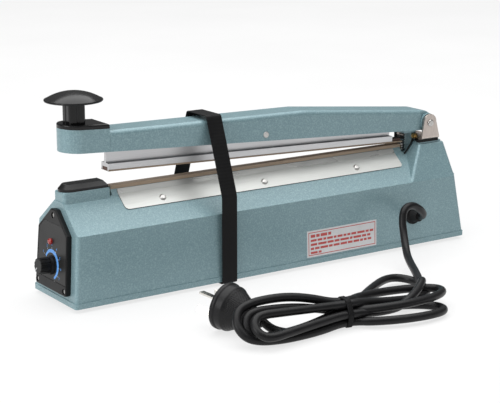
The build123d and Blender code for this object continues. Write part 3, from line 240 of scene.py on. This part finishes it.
def lobe_points(shape, start, end):
    """Route points round one loop right of the tie, from the tie back to it."""
    reach, far, near, offset, tip_height, rise, roundness, lean = shape
    points = []
    for step in range(1, LOBE_POINTS):
        turn = 2 * math.pi * step / LOBE_POINTS
        out = math.sin(turn / 2) ** 2
        bulge = -math.sin(turn) * math.sin(turn / 2) ** roundness
        swing = (far if bulge > 0 else near) * bulge
        part = step / LOBE_POINTS
        across = (start[0] * (1 - part) + end[0] * part) * (1 - out) + swing + offset * out
        up = (start[1] * (1 - part) + end[1] * part) * (1 - out) + tip_height * out + rise * swing
        along = TIE_HALF + reach * out + lean * swing
        points.append(hank_point(along, across, max(up, FLOOR_GAP)))
    return points


def hairpin_points(shape, start, end):
    """Route points round one loop left of the tie: a run out, a round tip and a run back."""
    reach, radius, across, height, tilt, bulge = shape
    plane = (math.cos(math.radians(tilt)), math.sin(math.radians(tilt)))

    def place(along, offset, middle):
        up = middle[1] + offset * plane[1]
        return hank_point(-along, middle[0] + offset * plane[0], max(up, FLOOR_GAP))

    def run(strand, offset):
        points = []
        for step in range(1, RUN_POINTS):
            part = step / RUN_POINTS
            middle = [a + (b - a) * part for a, b in zip(strand, (across, height))]
            outward = offset * part + math.copysign(bulge, offset) * math.sin(math.pi * part)
            points.append(place(TIE_HALF + (reach - TIE_HALF) * part, outward, middle))
        return points

    tip = []
    for step in range(TIP_POINTS):
        angle = math.pi * (0.5 - step / (TIP_POINTS - 1))
        tip.append(place(reach + abs(radius) * math.cos(angle), radius * math.sin(angle), (across, height)))
    return run(start, radius) + tip + run(end, -radius)[::-1]


def tie_points(strand, direction):
    across, up = strand
    return [hank_point(direction * place, across, up) for place in (-TIE_HALF, TIE_HALF)]


cord_points = LEAD_ROUTE + tie_points(FIRST_STRAND, -1)
strand = FIRST_STRAND
for left, right, near_strand, far_strand in zip(LEFT_LOBES, RIGHT_LOBES, NEAR_STRANDS, FAR_STRANDS):
    cord_points += hairpin_points(left, strand, near_strand)
    cord_points += tie_points(near_strand, 1)
    cord_points += lobe_points(right, near_strand, far_strand)
    cord_points += tie_points(far_strand, -1)
    strand = far_strand
cord_points += LAST_RUN

cord_curve = bpy.data.curves.new("mains_lead", "CURVE")
cord_curve.dimensions = "3D"
cord_curve.resolution_u = 8
cord_curve.bevel_depth = 1
cord_curve.bevel_resolution = 5
cord_spline = cord_curve.splines.new("NURBS")
cord_spline.points.add(len(cord_points) - 1)
for point, place in zip(cord_spline.points, cord_points):
    point.co = (*place, 1)
    point.radius = CORD_DIAMETER / 2
cord_spline.order_u = 3
cord_spline.use_endpoint_u = True
mains_lead = bpy.data.objects.new("mains_lead", cord_curve)
bpy.context.scene.collection.objects.link(mains_lead)
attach(mains_lead, "base")
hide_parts("cord_lead", "cord_hank")


# ------------------------------------------------------------------ materials, one for each slot
def hammertone_paint():
    s = Shader("hammertone_paint")
    s.fixed(Metallic=0.2, Coat_Weight=0.2, Coat_Roughness=0.2)
    mottle = s.cells(820)
    fine = s.noise(2200, 4)
    broad = s.noise(9, 2)
    mixed = s.blend("MULTIPLY_ADD", mottle, 0.6, s.blend("MULTIPLY", fine, 0.6))
    mixed = s.blend("MULTIPLY_ADD", broad, 0.2, mixed)
    dark, middle, light = (0.145, 0.242, 0.270), (0.188, 0.298, 0.328), (0.262, 0.388, 0.420)
    s.colour(mixed, [(0.35, dark), (0.65, middle), (0.95, light)])
    s.roughness(fine, 0.34, 0.48)
    s.bump(mixed, 0.00012, 0.45)
    return s.material


def moulded(name, dark, light, rough, grain=900, depth=0.00003, coat=0.0, specular=0.22):
    """Moulded plastic or rubber: fine grain, faint cloudiness and uneven gloss."""
    s = Shader(name)
    s.fixed(Coat_Weight=coat, Coat_Roughness=0.12, Specular_IOR_Level=specular)
    cloud = s.noise(35, 3)
    fine = s.noise(grain, 4)
    mixed = s.blend("MULTIPLY_ADD", fine, 0.35, s.blend("MULTIPLY", cloud, 0.65))
    s.colour(mixed, [(0.3, dark), (0.7, light)])
    s.roughness(cloud, *rough)
    s.bump(fine, depth, 0.6)
    return s.material


def metal(name, dark, light, rough, stretch=(1, 1, 1), grain=700, depth=0.00001, cloud_scale=40):
    """Bare metal: fine marks drawn out along one direction, with patches of duller surface."""
    s = Shader(name)
    s.fixed(Metallic=1.0)
    marks = s.noise(grain, 5, s.stretched(stretch))
    cloud = s.noise(cloud_scale, 3)
    mixed = s.blend("MULTIPLY_ADD", marks, 0.6, s.blend("MULTIPLY", cloud, 0.4))
    s.colour(mixed, [(0.3, dark), (0.7, light)])
    s.roughness(s.blend("MULTIPLY_ADD", marks, 0.5, s.blend("MULTIPLY", cloud, 0.5)), *rough)
    s.bump(marks, depth, 0.5)
    return s.material


def woven(name, dark, light, pitch, rough, depth=0.00008, turn=(0, 0, 0), sheen=0.0, specular=0.15):
    """Woven tape or cloth: crossing threads of the given pitch in metres."""
    s = Shader(name)
    s.fixed(Sheen_Weight=sheen, Specular_IOR_Level=specular)
    place = s.stretched((1, 1, 1), turn)
    scale = math.pi / (10 * pitch)
    warp = s.bands(scale, "X", place, 0.4)
    weft = s.bands(scale, "Z", place, 0.4)
    across = s.bands(scale, "Y", place, 0.4)
    threads = s.blend("ADD", s.blend("MULTIPLY", warp, 0.5), s.blend("MULTIPLY", weft, 0.5))
    threads = s.blend("MULTIPLY_ADD", across, 0.3, s.blend("MULTIPLY", threads, 0.7))
    cloud = s.noise(60, 4)
    mixed = s.blend("MULTIPLY_ADD", threads, 0.5, s.blend("MULTIPLY", cloud, 0.5))
    s.colour(mixed, [(0.25, dark), (0.75, light)])
    s.roughness(cloud, *rough)
    s.bump(threads, depth, 0.7)
    return s.material


def clamp_polished():
    """Bright strip: the flat facet is satin; the steep facet is a mirror whose base colour is painted dark, a
    painted reflection of the dark underside of the jaw and arm above it.
    """
    s = Shader("clamp_polished")
    s.fixed(Metallic=0.6)
    waves = s.noise(38, 2, s.stretched((0.35, 1, 1)))
    scratches = s.noise(1600, 4, s.stretched((0.03, 1, 1)))
    facing = s.tree.nodes.new("ShaderNodeSeparateXYZ")
    s.link(s.tree.nodes.new("ShaderNodeNewGeometry").outputs["True Normal"], facing.inputs["Vector"])
    # facets facing up keep a bright base colour; steep facets get a dark one, a painted reflection of the dark jaw
    # underside
    flat_facet_mask_for_painted_reflection = s.spread(facing.outputs["Z"], 0, 1, 0.45, 0.6)
    scratches_and_painted_reflection = s.blend("MULTIPLY_ADD", scratches, 0.2, s.blend("MULTIPLY", flat_facet_mask_for_painted_reflection, 0.8))
    s.colour(scratches_and_painted_reflection, [(0.05, (0.10, 0.10, 0.10)), (0.2, (0.14, 0.14, 0.14)), (0.95, (0.56, 0.57, 0.55))])
    dullness = s.blend("MULTIPLY_ADD", waves, 0.12, s.spread(flat_facet_mask_for_painted_reflection, 0.04, 0.28, 0, 1))
    s.link(dullness, s.bsdf.inputs["Roughness"])
    broad = s.bump(waves, 0.0012, 0.4)
    s.bump(scratches, 0.00001, 0.4, broad)
    return s.material


def lamp_red():
    s = Shader("lamp_red")
    s.fixed(Transmission_Weight=0.25, IOR=1.49, Emission_Strength=0.06, Coat_Weight=0.5, Coat_Roughness=0.05)
    facets = s.cells(1500)
    s.colour(facets, [(0.1, (0.22, 0.004, 0.004)), (0.8, (0.42, 0.02, 0.015))])
    glow = s.ramp(facets, [(0.1, (0.5, 0.0, 0.0)), (0.8, (0.9, 0.05, 0.03))])
    s.link(glow, s.bsdf.inputs["Emission Color"])
    s.roughness(facets, 0.1, 0.25)
    s.bump(facets, 0.0001, 0.4)
    return s.material


def ptfe_tan():
    s = Shader("ptfe_tan")
    s.fixed(Sheen_Weight=0.15)
    scale = math.pi / (10 * 0.0007)
    threads = s.blend("MULTIPLY", s.bands(scale, "X", None, 0.5), s.bands(scale, "Y", None, 0.5))
    scorch = s.noise(28, 4, s.stretched((0.5, 1, 1)))
    mixed = s.blend("MULTIPLY_ADD", threads, 0.3, s.blend("MULTIPLY", scorch, 0.7))
    s.colour(mixed, [(0.2, (0.20, 0.135, 0.085)), (0.5, (0.36, 0.27, 0.19)), (0.8, (0.46, 0.36, 0.27))])
    s.roughness(scorch, 0.35, 0.6)
    s.bump(threads, 0.00006, 0.6)
    return s.material


def jaw_aluminium():
    s = Shader("jaw_aluminium")
    s.fixed(Metallic=1.0)
    lines = s.noise(2200, 5, s.stretched((0.012, 1, 1)))
    cloud = s.noise(18, 3, s.stretched((0.4, 1, 1)))
    s.colour(s.blend("MULTIPLY_ADD", lines, 0.5, s.blend("MULTIPLY", cloud, 0.5)),
             [(0.3, (0.55, 0.55, 0.56)), (0.7, (0.70, 0.70, 0.71))])
    s.roughness(cloud, 0.3, 0.45)
    s.bump(lines, 0.00002, 0.5)
    return s.material


def board_green():
    s = Shader("board_green")
    tracks = s.bands(120, "Y", None, 6.0)
    s.colour(tracks, [(0.35, (0.012, 0.10, 0.03)), (0.6, (0.03, 0.20, 0.07))])
    s.roughness(s.noise(200, 3), 0.25, 0.4)
    s.bump(tracks, 0.00003, 0.4)
    return s.material


def label_white():
    s = Shader("label_white")
    fibre = s.noise(700, 4)
    stain = s.noise(25, 3)
    s.colour(s.blend("MULTIPLY_ADD", fibre, 0.3, s.blend("MULTIPLY", stain, 0.7)),
             [(0.3, (0.52, 0.53, 0.54)), (0.7, (0.68, 0.69, 0.70))])
    s.roughness(stain, 0.3, 0.45)
    s.bump(fibre, 0.00001, 0.4)
    return s.material


BLACK = (0.0045, 0.0045, 0.0048)
SOOT = (0.0105, 0.0105, 0.011)
MATERIALS = {
    "hammertone_paint": hammertone_paint(),
    "panel_black": moulded(
        "panel_black", (0.003, 0.003, 0.0033), (0.007, 0.007, 0.0075), (0.34, 0.46), 1500, 0.00005
    ),
    "dial_grey": moulded(
        "dial_grey", (0.012, 0.012, 0.012), (0.021, 0.021, 0.021), (0.32, 0.45), 1200, 0.00002
    ),
    "screw_steel": metal("screw_steel", (0.42, 0.41, 0.40), (0.66, 0.65, 0.63), (0.22, 0.42)),
    "lamp_red": lamp_red(),
    "knob_black": moulded("knob_black", BLACK, SOOT, (0.32, 0.46), 1400, 0.00003),
    "housing_phenolic": moulded("housing_phenolic", (0.045, 0.028, 0.018), (0.08, 0.05, 0.035), (0.4, 0.6)),
    "shaft_metal": metal("shaft_metal", (0.6, 0.6, 0.6), (0.78, 0.78, 0.78), (0.25, 0.4), (0.05, 1, 1)),
    "gloss_black": moulded(
        "gloss_black", (0.004, 0.004, 0.0045), (0.008, 0.008, 0.0085), (0.14, 0.26), 500, 0.00001, 0.0, 0.3
    ),
    "ptfe_tan": ptfe_tan(),
    "clamp_polished": clamp_polished(),
    "insulation_white": woven("insulation_white", (0.5, 0.48, 0.42), (0.7, 0.68, 0.62), 0.0008, (0.6, 0.8)),
    "element_alloy": metal("element_alloy", (0.3, 0.28, 0.27), (0.48, 0.46, 0.44), (0.3, 0.5), (0.03, 1, 1)),
    "terminal_brass": metal("terminal_brass", (0.5, 0.36, 0.16), (0.72, 0.55, 0.28), (0.25, 0.45)),
    "bracket_nickel": metal(
        "bracket_nickel", (0.46, 0.40, 0.37), (0.68, 0.62, 0.57), (0.3, 0.5), (1, 1, 0.2)
    ),
    "gasket_rubber": moulded("gasket_rubber", BLACK, SOOT, (0.55, 0.75), 800, 0.00005),
    "lead_black": moulded("lead_black", BLACK, SOOT, (0.35, 0.5)),
    "spring_steel": metal("spring_steel", (0.05, 0.05, 0.055), (0.12, 0.12, 0.125), (0.3, 0.45)),
    "bush_bronze": metal("bush_bronze", (0.36, 0.22, 0.1), (0.58, 0.40, 0.2), (0.35, 0.5)),
    "jaw_aluminium": jaw_aluminium(),
    "silicone_brown": moulded(
        "silicone_brown", (0.12, 0.07, 0.055), (0.19, 0.12, 0.10), (0.45, 0.6), 500, 0.00004
    ),
    "foot_rubber": moulded("foot_rubber", BLACK, SOOT, (0.6, 0.8), 900, 0.00006),
    "core_steel": metal("core_steel", (0.12, 0.12, 0.13), (0.25, 0.25, 0.27), (0.45, 0.6), (1, 0.02, 1)),
    "coil_copper": metal("coil_copper", (0.45, 0.18, 0.08), (0.72, 0.34, 0.18), (0.25, 0.4), (1, 1, 0.05)),
    "board_green": board_green(),
    "part_black": moulded("part_black", BLACK, SOOT, (0.35, 0.5)),
    "label_white": label_white(),
    "strap_black": woven(
        "strap_black", (0.003, 0.003, 0.0033), (0.010, 0.010, 0.0105), 0.0011, (0.5, 0.68), 0.00016
    ),
    "cord_black": moulded(
        "cord_black", (0.006, 0.006, 0.0065), (0.013, 0.013, 0.014), (0.3, 0.44), 700, 0.00004
    ),
    "pin_nickel": metal("pin_nickel", (0.62, 0.60, 0.56), (0.82, 0.80, 0.76), (0.16, 0.3)),
}
for subpart in RECORD["subparts"]:
    node = NODES[subpart["node"]]
    for slot in node.material_slots:
        slot.material = MATERIALS[subpart["material_slot"]]
cord_curve.materials.append(MATERIALS["cord_black"])


# ------------------------------------------------------------------ mesh helpers
def new_piece(name, points, faces, material_slot, body, smooth=True):
    mesh = bpy.data.meshes.new(name)
    mesh.from_pydata([tuple(point) for point in points], [], faces)
    mesh.validate()
    mesh.polygons.foreach_set("use_smooth", [smooth] * len(mesh.polygons))
    mesh.materials.append(MATERIALS[material_slot])
    mesh.update()
    piece = bpy.data.objects.new(name, mesh)
    bpy.context.scene.collection.objects.link(piece)
    if body:
        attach(piece, body)
    return piece


def grid_faces(rows, columns, close_rows=False, close_columns=False):
    faces = []
    for row in range(rows if close_rows else rows - 1):
        for column in range(columns if close_columns else columns - 1):
            after_row = (row + 1) % rows
            after_column = (column + 1) % columns
            faces.append((
                row * columns + column,
                row * columns + after_column,
                after_row * columns + after_column,
                after_row * columns + column,
            ))
    return faces


def raised_shapes(name, outlines, place, low, high, material_slot, body):
    """Thin flat shapes on a surface. place(u, v, out) gives the point in the row frame."""
    points = []
    faces = []
    for outline in outlines:
        count = len(outline)
        first = len(points)
        points += [place(u, v, low) for u, v in outline]
        points += [place(u, v, high) for u, v in outline]
        faces.append(tuple(first + count + index for index in range(count)))
        faces.append(tuple(first + index for index in reversed(range(count))))
        for index in range(count):
            after = (index + 1) % count
            faces.append((first + index, first + after, first + count + after, first + count + index))
    return new_piece(name, points, faces, material_slot, body, smooth=False)


# ------------------------------------------------------------------ plug, with its cross-cut cone
PLUG_FACE = Vector((-0.1405, -0.1455, 0.0212))
PLUG_AXIS = Vector((0.31, -0.94, -0.15)).normalized()
PLUG_SIDE = PLUG_AXIS.cross(Vector((0, 0, 1))).normalized()
PLUG_UP = PLUG_SIDE.cross(PLUG_AXIS)
PLUG_PROFILE = [
    (0.0, 0.0), (17.5, 0.0), (19.4, 0.1), (20.3, 0.5), (20.6, 1.0), (20.6, 3.6), (20.3, 4.2), (19.7, 4.7),
    (19.6, 5.4), (19.6, 10.2), (19.4, 11.0), (18.8, 11.9), (18.2, 12.6),
]
CONE_START = (18.1, 13.0)
CONE_END = (8.8, 31.2)
CONE_ROWS = 60
SLEEVE_PROFILE = [
    (8.4, 31.8), (8.0, 32.4), (6.9, 33.2), (6.4, 34.2), (6.3, 35.4), (5.7, 35.8), (5.7, 36.6), (6.1, 37.0),
    (6.0, 38.2), (5.4, 38.6), (5.4, 39.4), (5.8, 39.8), (5.6, 41.2), (4.8, 41.9), (3.6, 42.0),
]
PLUG_SEGMENTS = 288
KNURL_STARTS = 36
KNURL_ROWS = 13
KNURL_DEPTH = 0.42


def knurl(angle, part):
    """Depth in millimetres of two sets of crossing grooves at a place on the cone."""
    around = KNURL_STARTS * angle / (2 * math.pi)
    along = KNURL_ROWS * part
    deepest = 0
    for value in (around + along, around - along):
        deepest = max(deepest, (0.5 + 0.5 * math.cos(2 * math.pi * value)) ** 3)
    fade = min(1, part / 0.04, (1 - part) / 0.04)
    return KNURL_DEPTH * deepest * max(fade, 0)


plug_rows = [(radius, height, None) for radius, height in PLUG_PROFILE]
for row in range(CONE_ROWS + 1):
    part = row / CONE_ROWS
    plug_rows.append((
        CONE_START[0] + (CONE_END[0] - CONE_START[0]) * part,
        CONE_START[1] + (CONE_END[1] - CONE_START[1]) * part,
        part,
    ))
plug_rows += [(radius, height, None) for radius, height in SLEEVE_PROFILE]
plug_points = []
for radius, height, part in plug_rows:
    for segment in range(PLUG_SEGMENTS):
        angle = 2 * math.pi * segment / PLUG_SEGMENTS
        depth = 0 if part is None else knurl(angle, part)
        out = PLUG_SIDE * math.cos(angle) + PLUG_UP * math.sin(angle)
        plug_points.append(PLUG_FACE + PLUG_AXIS * height * MM + out * (radius - depth) * MM)
plug_faces = grid_faces(len(plug_rows), PLUG_SEGMENTS, False, True)
plug = new_piece("plug_shell", plug_points, plug_faces, "cord_black", "base")
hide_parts("plug_body")

# ------------------------------------------------------------------ the band round the seven strands
TIE_SHEET = 0.0009
TIE_EDGE = 0.7 * TIE_SHEET
TIE_WIDTH = 0.005
STRAND_STEPS = 24

rims = []
for across, up in [FIRST_STRAND] + NEAR_STRANDS + FAR_STRANDS:
    for step in range(STRAND_STEPS):
        turn = 2 * math.pi * step / STRAND_STEPS
        rims.append((across + CORD_DIAMETER / 2 * math.cos(turn), up + CORD_DIAMETER / 2 * math.sin(turn)))
wrap = [Vector(rims[index]) for index in convex_hull_2d(rims)]
centre = sum(wrap, Vector((0, 0))) / len(wrap)
tie_rows = []
for along, thickness in (
    (-TIE_WIDTH / 2, 0.0),
    (-TIE_WIDTH / 2, TIE_EDGE),
    (-TIE_WIDTH / 2 + TIE_SHEET / 2, TIE_SHEET),
    (TIE_WIDTH / 2 - TIE_SHEET / 2, TIE_SHEET),
    (TIE_WIDTH / 2, TIE_EDGE),
    (TIE_WIDTH / 2, 0.0),
):
    for corner in wrap:
        place = corner + (corner - centre).normalized() * thickness
        tie_rows.append(hank_point(along, place.x, place.y))
tie_faces = grid_faces(len(tie_rows) // len(wrap), len(wrap), True, True)
tie = new_piece("cord_band", tie_rows, tie_faces, "strap_black", "base")
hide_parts("cord_tie")

# ------------------------------------------------------------------ return spring
spring_low, spring_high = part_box("return_spring")
SPRING_WIRE = 0.00045
SPRING_TURNS = 9
SPRING_STEPS = 26
SPRING_SIDES = 8
spring_middle = (spring_low + spring_high) / 2
spring_radius = (spring_high.x - spring_low.x) / 2 - SPRING_WIRE
spring_points = []
spring_rows = SPRING_TURNS * SPRING_STEPS + 1
for row in range(spring_rows):
    part = row / (spring_rows - 1)
    angle = 2 * math.pi * SPRING_TURNS * part
    # the end turns lie closed, the others are evenly open
    rise = min(max((part - 0.06) / 0.88, 0), 1)
    open_height = spring_high.z - spring_low.z - 4 * SPRING_WIRE
    height = spring_low.z + SPRING_WIRE * (1 + 2 * part) + rise * open_height
    outward = Vector((math.cos(angle), math.sin(angle), 0))
    centre = Vector((spring_middle.x, spring_middle.y, height)) + outward * spring_radius
    for side in range(SPRING_SIDES):
        turn = 2 * math.pi * side / SPRING_SIDES
        around = outward * math.cos(turn) + Vector((0, 0, math.sin(turn)))
        spring_points.append(centre + around * SPRING_WIRE)
spring_faces = grid_faces(spring_rows, SPRING_SIDES, False, True)
last_ring = (spring_rows - 1) * SPRING_SIDES
spring_faces.append(tuple(range(SPRING_SIDES)))
spring_faces.append(tuple(last_ring + side for side in reversed(range(SPRING_SIDES))))
coil = new_piece("return_spring_coil", spring_points, spring_faces, "spring_steel", None)
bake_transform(coil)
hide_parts("return_spring")

# ------------------------------------------------------------------ transport strap
strap_low, strap_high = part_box("transport_strap")
STRAP_CORNERS = [(16.7, 155.3), (43.0, 84.0), (43.0, 1.9), (-43.0, 1.9), (-43.0, 84.0), (-16.7, 155.3)]
STRAP_ROUND = 2.2
STRAP_SHEET = 0.9
STRAP_STEP = 2.0


def rounded_loop(corners, radius, step):
    """Evenly stepped points round a closed outline with rounded corners, in millimetres."""
    loop = []
    count = len(corners)
    for index in range(count):
        before = Vector(corners[index - 1])
        corner = Vector(corners[index])
        after = Vector(corners[(index + 1) % count])
        enter = corner + (before - corner).normalized() * radius
        leave = corner + (after - corner).normalized() * radius
        for part in (0, 0.25, 0.5, 0.75, 1):
            loop.append(enter.lerp(corner, part).lerp(corner.lerp(leave, part), part))
        run = (after + (corner - after).normalized() * radius) - leave
        for stride in range(1, max(int(run.length / step), 1)):
            loop.append(leave + run * stride / max(int(run.length / step), 1))
    return loop


strap_loop = rounded_loop(STRAP_CORNERS, STRAP_ROUND, STRAP_STEP)
strap_half = (strap_high.x - strap_low.x) / 2 - 0.0002
strap_middle = (strap_low.x + strap_high.x) / 2
# the tape's section: flat faces, thinned towards its woven edges
STRAP_SECTION = [
    (-1.0, 0.0), (-0.97, 0.38), (-0.85, 0.5), (-0.3, 0.5), (0.3, 0.5), (0.85, 0.5), (0.97, 0.38),
    (1.0, 0.0), (0.97, -0.38), (0.85, -0.5), (0.3, -0.5), (-0.3, -0.5), (-0.85, -0.5), (-0.97, -0.38),
]
strap_points = []
for index, place in enumerate(strap_loop):
    ahead = strap_loop[(index + 1) % len(strap_loop)] - strap_loop[index - 1]
    normal = Vector((ahead.y, -ahead.x)).normalized()
    for across, out in STRAP_SECTION:
        spot = place + normal * out * STRAP_SHEET
        strap_points.append((strap_middle + across * strap_half, spot.x * MM, spot.y * MM))
strap_faces = grid_faces(len(strap_loop), len(STRAP_SECTION), True, True)
strap = new_piece("strap_tape", strap_points, strap_faces, "strap_black", None)
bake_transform(strap)
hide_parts("transport_strap")

# ------------------------------------------------------------------ dial: scale, marks and numbers
knob_joint = JOINTS["timer_knob"]
DIAL_CENTRE = Vector(knob_joint["pos_m"])
DIAL_NORMAL = -Vector(knob_joint["axis"]).normalized()
DIAL_RIGHT = Vector((0, -1, 0))
DIAL_UP = DIAL_NORMAL.cross(DIAL_RIGHT)
DIAL_TOP = 4.8


def on_dial(u, v, out):
    return DIAL_CENTRE + (DIAL_RIGHT * u + DIAL_UP * v + DIAL_NORMAL * out) * MM


def clock(angle, radius):
    """A place on the dial: angle clockwise from the top in degrees, radius in millimetres."""
    return (radius * math.sin(math.radians(angle)), radius * math.cos(math.radians(angle)))


def printed(name, low, high):
    """Screen-printed ink with slightly uneven cover."""
    s = Shader(name)
    cover = s.noise(1800, 3)
    s.colour(cover, [(0.3, low), (0.7, high)])
    s.roughness(cover, 0.4, 0.55)
    return s.material


MATERIALS["ink_blue"] = printed("ink_blue", (0.09, 0.28, 0.66), (0.13, 0.36, 0.80))
MATERIALS["ink_white"] = printed("ink_white", (0.50, 0.51, 0.52), (0.66, 0.67, 0.68))
MATERIALS["ink_red"] = printed("ink_red", (0.42, 0.045, 0.045), (0.52, 0.09, 0.08))


def in_ink(piece, ink):
    piece.data.materials.clear()
    piece.data.materials.append(MATERIALS[ink])


SCALE_START = -60
SCALE_END = 150
SCALE_INNER = 11.2
SCALE_STEPS = 42
scale_bands = []
for step in range(SCALE_STEPS):
    parts = (step / SCALE_STEPS, (step + 1) / SCALE_STEPS)
    angles = [SCALE_START + (SCALE_END - SCALE_START) * part for part in parts]
    outer = [SCALE_INNER + 2.0 + 1.4 * math.sin(math.pi * part) for part in parts]
    scale_bands.append([
        clock(angles[0], SCALE_INNER),
        clock(angles[0], outer[0]),
        clock(angles[1], outer[1]),
        clock(angles[1], SCALE_INNER),
    ])
scale_bands = [list(reversed(band)) for band in scale_bands]
scale = raised_shapes("dial_scale", scale_bands, on_dial, DIAL_TOP, DIAL_TOP + 0.05, "dial_grey", "base")
in_ink(scale, "ink_blue")

NUMBER_COUNT = 8
ticks = []
for number in range(NUMBER_COUNT):
    angle = SCALE_START + (SCALE_END - SCALE_START) * number / (NUMBER_COUNT - 1)
    inner = Vector(clock(angle, 14.6))
    outer = Vector(clock(angle, 16.0))
    side = Vector((outer - inner).normalized().orthogonal()) * 0.22
    ticks.append([tuple(inner - side), tuple(outer - side), tuple(outer + side), tuple(inner + side)])
    text = bpy.data.curves.new(f"dial_number_{number + 1}", "FONT")
    text.body = str(number + 1)
    text.size = 3.4 * MM
    text.extrude = 0.02 * MM
    text.align_x = "CENTER"
    text.align_y = "CENTER"
    figure = bpy.data.objects.new(f"dial_number_{number + 1}", text)
    bpy.context.scene.collection.objects.link(figure)
    frame_axes = Matrix((DIAL_RIGHT, DIAL_UP, DIAL_NORMAL)).transposed().to_4x4()
    figure.matrix_world = Matrix.Translation(on_dial(*clock(angle, 18.2), DIAL_TOP + 0.03)) @ frame_axes
    text.materials.append(MATERIALS["ink_blue"])
    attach(figure, "base")
tick_marks = raised_shapes("dial_ticks", ticks, on_dial, DIAL_TOP, DIAL_TOP + 0.05, "dial_grey", "base")
in_ink(tick_marks, "ink_white")

# pointer line on the knob's face, at the lower left where the timer is at its least
KNOB_OUT = 18.0
POINTER_ANGLE = 222
pointer = []
inner = Vector(clock(POINTER_ANGLE, 2.6))
outer = Vector(clock(POINTER_ANGLE, 7.6))
side = Vector((outer - inner).normalized().orthogonal()) * 0.5
pointer.append([tuple(inner - side), tuple(outer - side), tuple(outer + side), tuple(inner + side)])
pointer_span = (KNOB_OUT - 0.3, KNOB_OUT + 0.05)
knob_pointer = raised_shapes("knob_pointer", pointer, on_dial, *pointer_span, "knob_black", "knob")
in_ink(knob_pointer, "ink_white")

# ------------------------------------------------------------------ side label: red frame and plain bars
label_low, label_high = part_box("side_label")
LABEL_SHEET = 0.25
label_depth = label_high.y - label_low.y - LABEL_SHEET * MM
label_slope = Vector((0, label_depth, label_high.z - label_low.z)).normalized()
label_out = label_slope.cross(Vector((1, 0, 0)))
if label_out.y > 0:
    label_out = -label_out
label_size = ((label_high.x - label_low.x) / MM, (label_high.z - label_low.z) / label_slope.z / MM)


def on_label(u, v, out):
    corner = Vector((label_low.x, label_low.y, label_low.z))
    return corner + Vector((1, 0, 0)) * u * MM + label_slope * v * MM + label_out * out * MM


def bar(u0, v0, u1, v1):
    return [(u0, v0), (u1, v0), (u1, v1), (u0, v1)]


random.seed(7)
length, height = label_size
EDGE = 1.6
LINE = 0.7
red_shapes = [
    bar(EDGE, EDGE, length - EDGE, EDGE + LINE),
    bar(EDGE, height - EDGE - LINE, length - EDGE, height - EDGE),
    bar(EDGE, EDGE + LINE, EDGE + LINE, height - EDGE - LINE),
    bar(length - EDGE - LINE, EDGE + LINE, length - EDGE, height - EDGE - LINE),
]
TEXT_ROWS = 5
for row in range(TEXT_ROWS):
    baseline = height - 6.9 - row * 4.0
    limit = length - 4 if 0 < row < TEXT_ROWS - 1 else (29 if row == 0 else 17)
    start = 4.2
    while start < limit - 3:
        width = min(random.uniform(3.0, 10.5), limit - start)
        red_shapes.append(bar(start, baseline, start + width, baseline + (2.9 if row == 0 else 2.2)))
        start += width + 1.2
label_print = raised_shapes("label_print", red_shapes, on_label, 0, 0.04, "label_white", "base")
in_ink(label_print, "ink_red")

# ------------------------------------------------------------------ floor and light
floor_mesh = bpy.data.meshes.new("floor")
FLOOR_HALF = 6.0
floor_mesh.from_pydata(
    [(x * FLOOR_HALF, y * FLOOR_HALF, 0) for x, y in ((-1, -1), (1, -1), (1, 1), (-1, 1))],
    [], [(0, 1, 2, 3)],
)
floor = bpy.data.objects.new("floor", floor_mesh)
bpy.context.scene.collection.objects.link(floor)
floor_look = Shader("floor")
floor_look.colour(floor_look.noise(3, 2), [(0.3, (0.19, 0.19, 0.19)), (0.7, (0.21, 0.21, 0.21))])
floor_look.fixed(Roughness=0.8, Specular_IOR_Level=0.1, Emission_Color=(1, 1, 1, 1), Emission_Strength=0.72)
floor_mesh.materials.append(floor_look.material)

world = bpy.data.worlds.new("studio")
world.use_nodes = True
world_tree = world.node_tree
background = world_tree.nodes["Background"]
background.inputs["Color"].default_value = (1, 1, 1, 1)
direction = world_tree.nodes.new("ShaderNodeTexCoord")
split = world_tree.nodes.new("ShaderNodeSeparateXYZ")
fade = world_tree.nodes.new("ShaderNodeMapRange")
fade.inputs["From Min"].default_value = 0.25
fade.inputs["From Max"].default_value = 0.9
fade.inputs["To Min"].default_value = 0.12
fade.inputs["To Max"].default_value = 0.55
world_tree.links.new(direction.outputs["Generated"], split.inputs["Vector"])
world_tree.links.new(split.outputs["Z"], fade.inputs["Value"])
world_tree.links.new(fade.outputs["Result"], background.inputs["Strength"])
bpy.context.scene.world = world
bpy.context.scene.view_settings.view_transform = "Standard"

LIGHTS = [
    ("ceiling", (0.1, 0.3, 2.4), (0.1, 0.3, 0.0), 3.6, 100),
    ("left", (-2.0, -0.25, 0.9), (-0.1, 0.0, 0.08), 1.2, 20),
]
for name, place, target, size, power in LIGHTS:
    data = bpy.data.lights.new(name, "AREA")
    data.size = size
    data.energy = power
    lamp = bpy.data.objects.new(name, data)
    bpy.context.scene.collection.objects.link(lamp)
    lamp.location = place
    lamp.rotation_euler = (Vector(target) - Vector(place)).to_track_quat("-Z", "Y").to_euler()

bpy.context.view_layer.update()
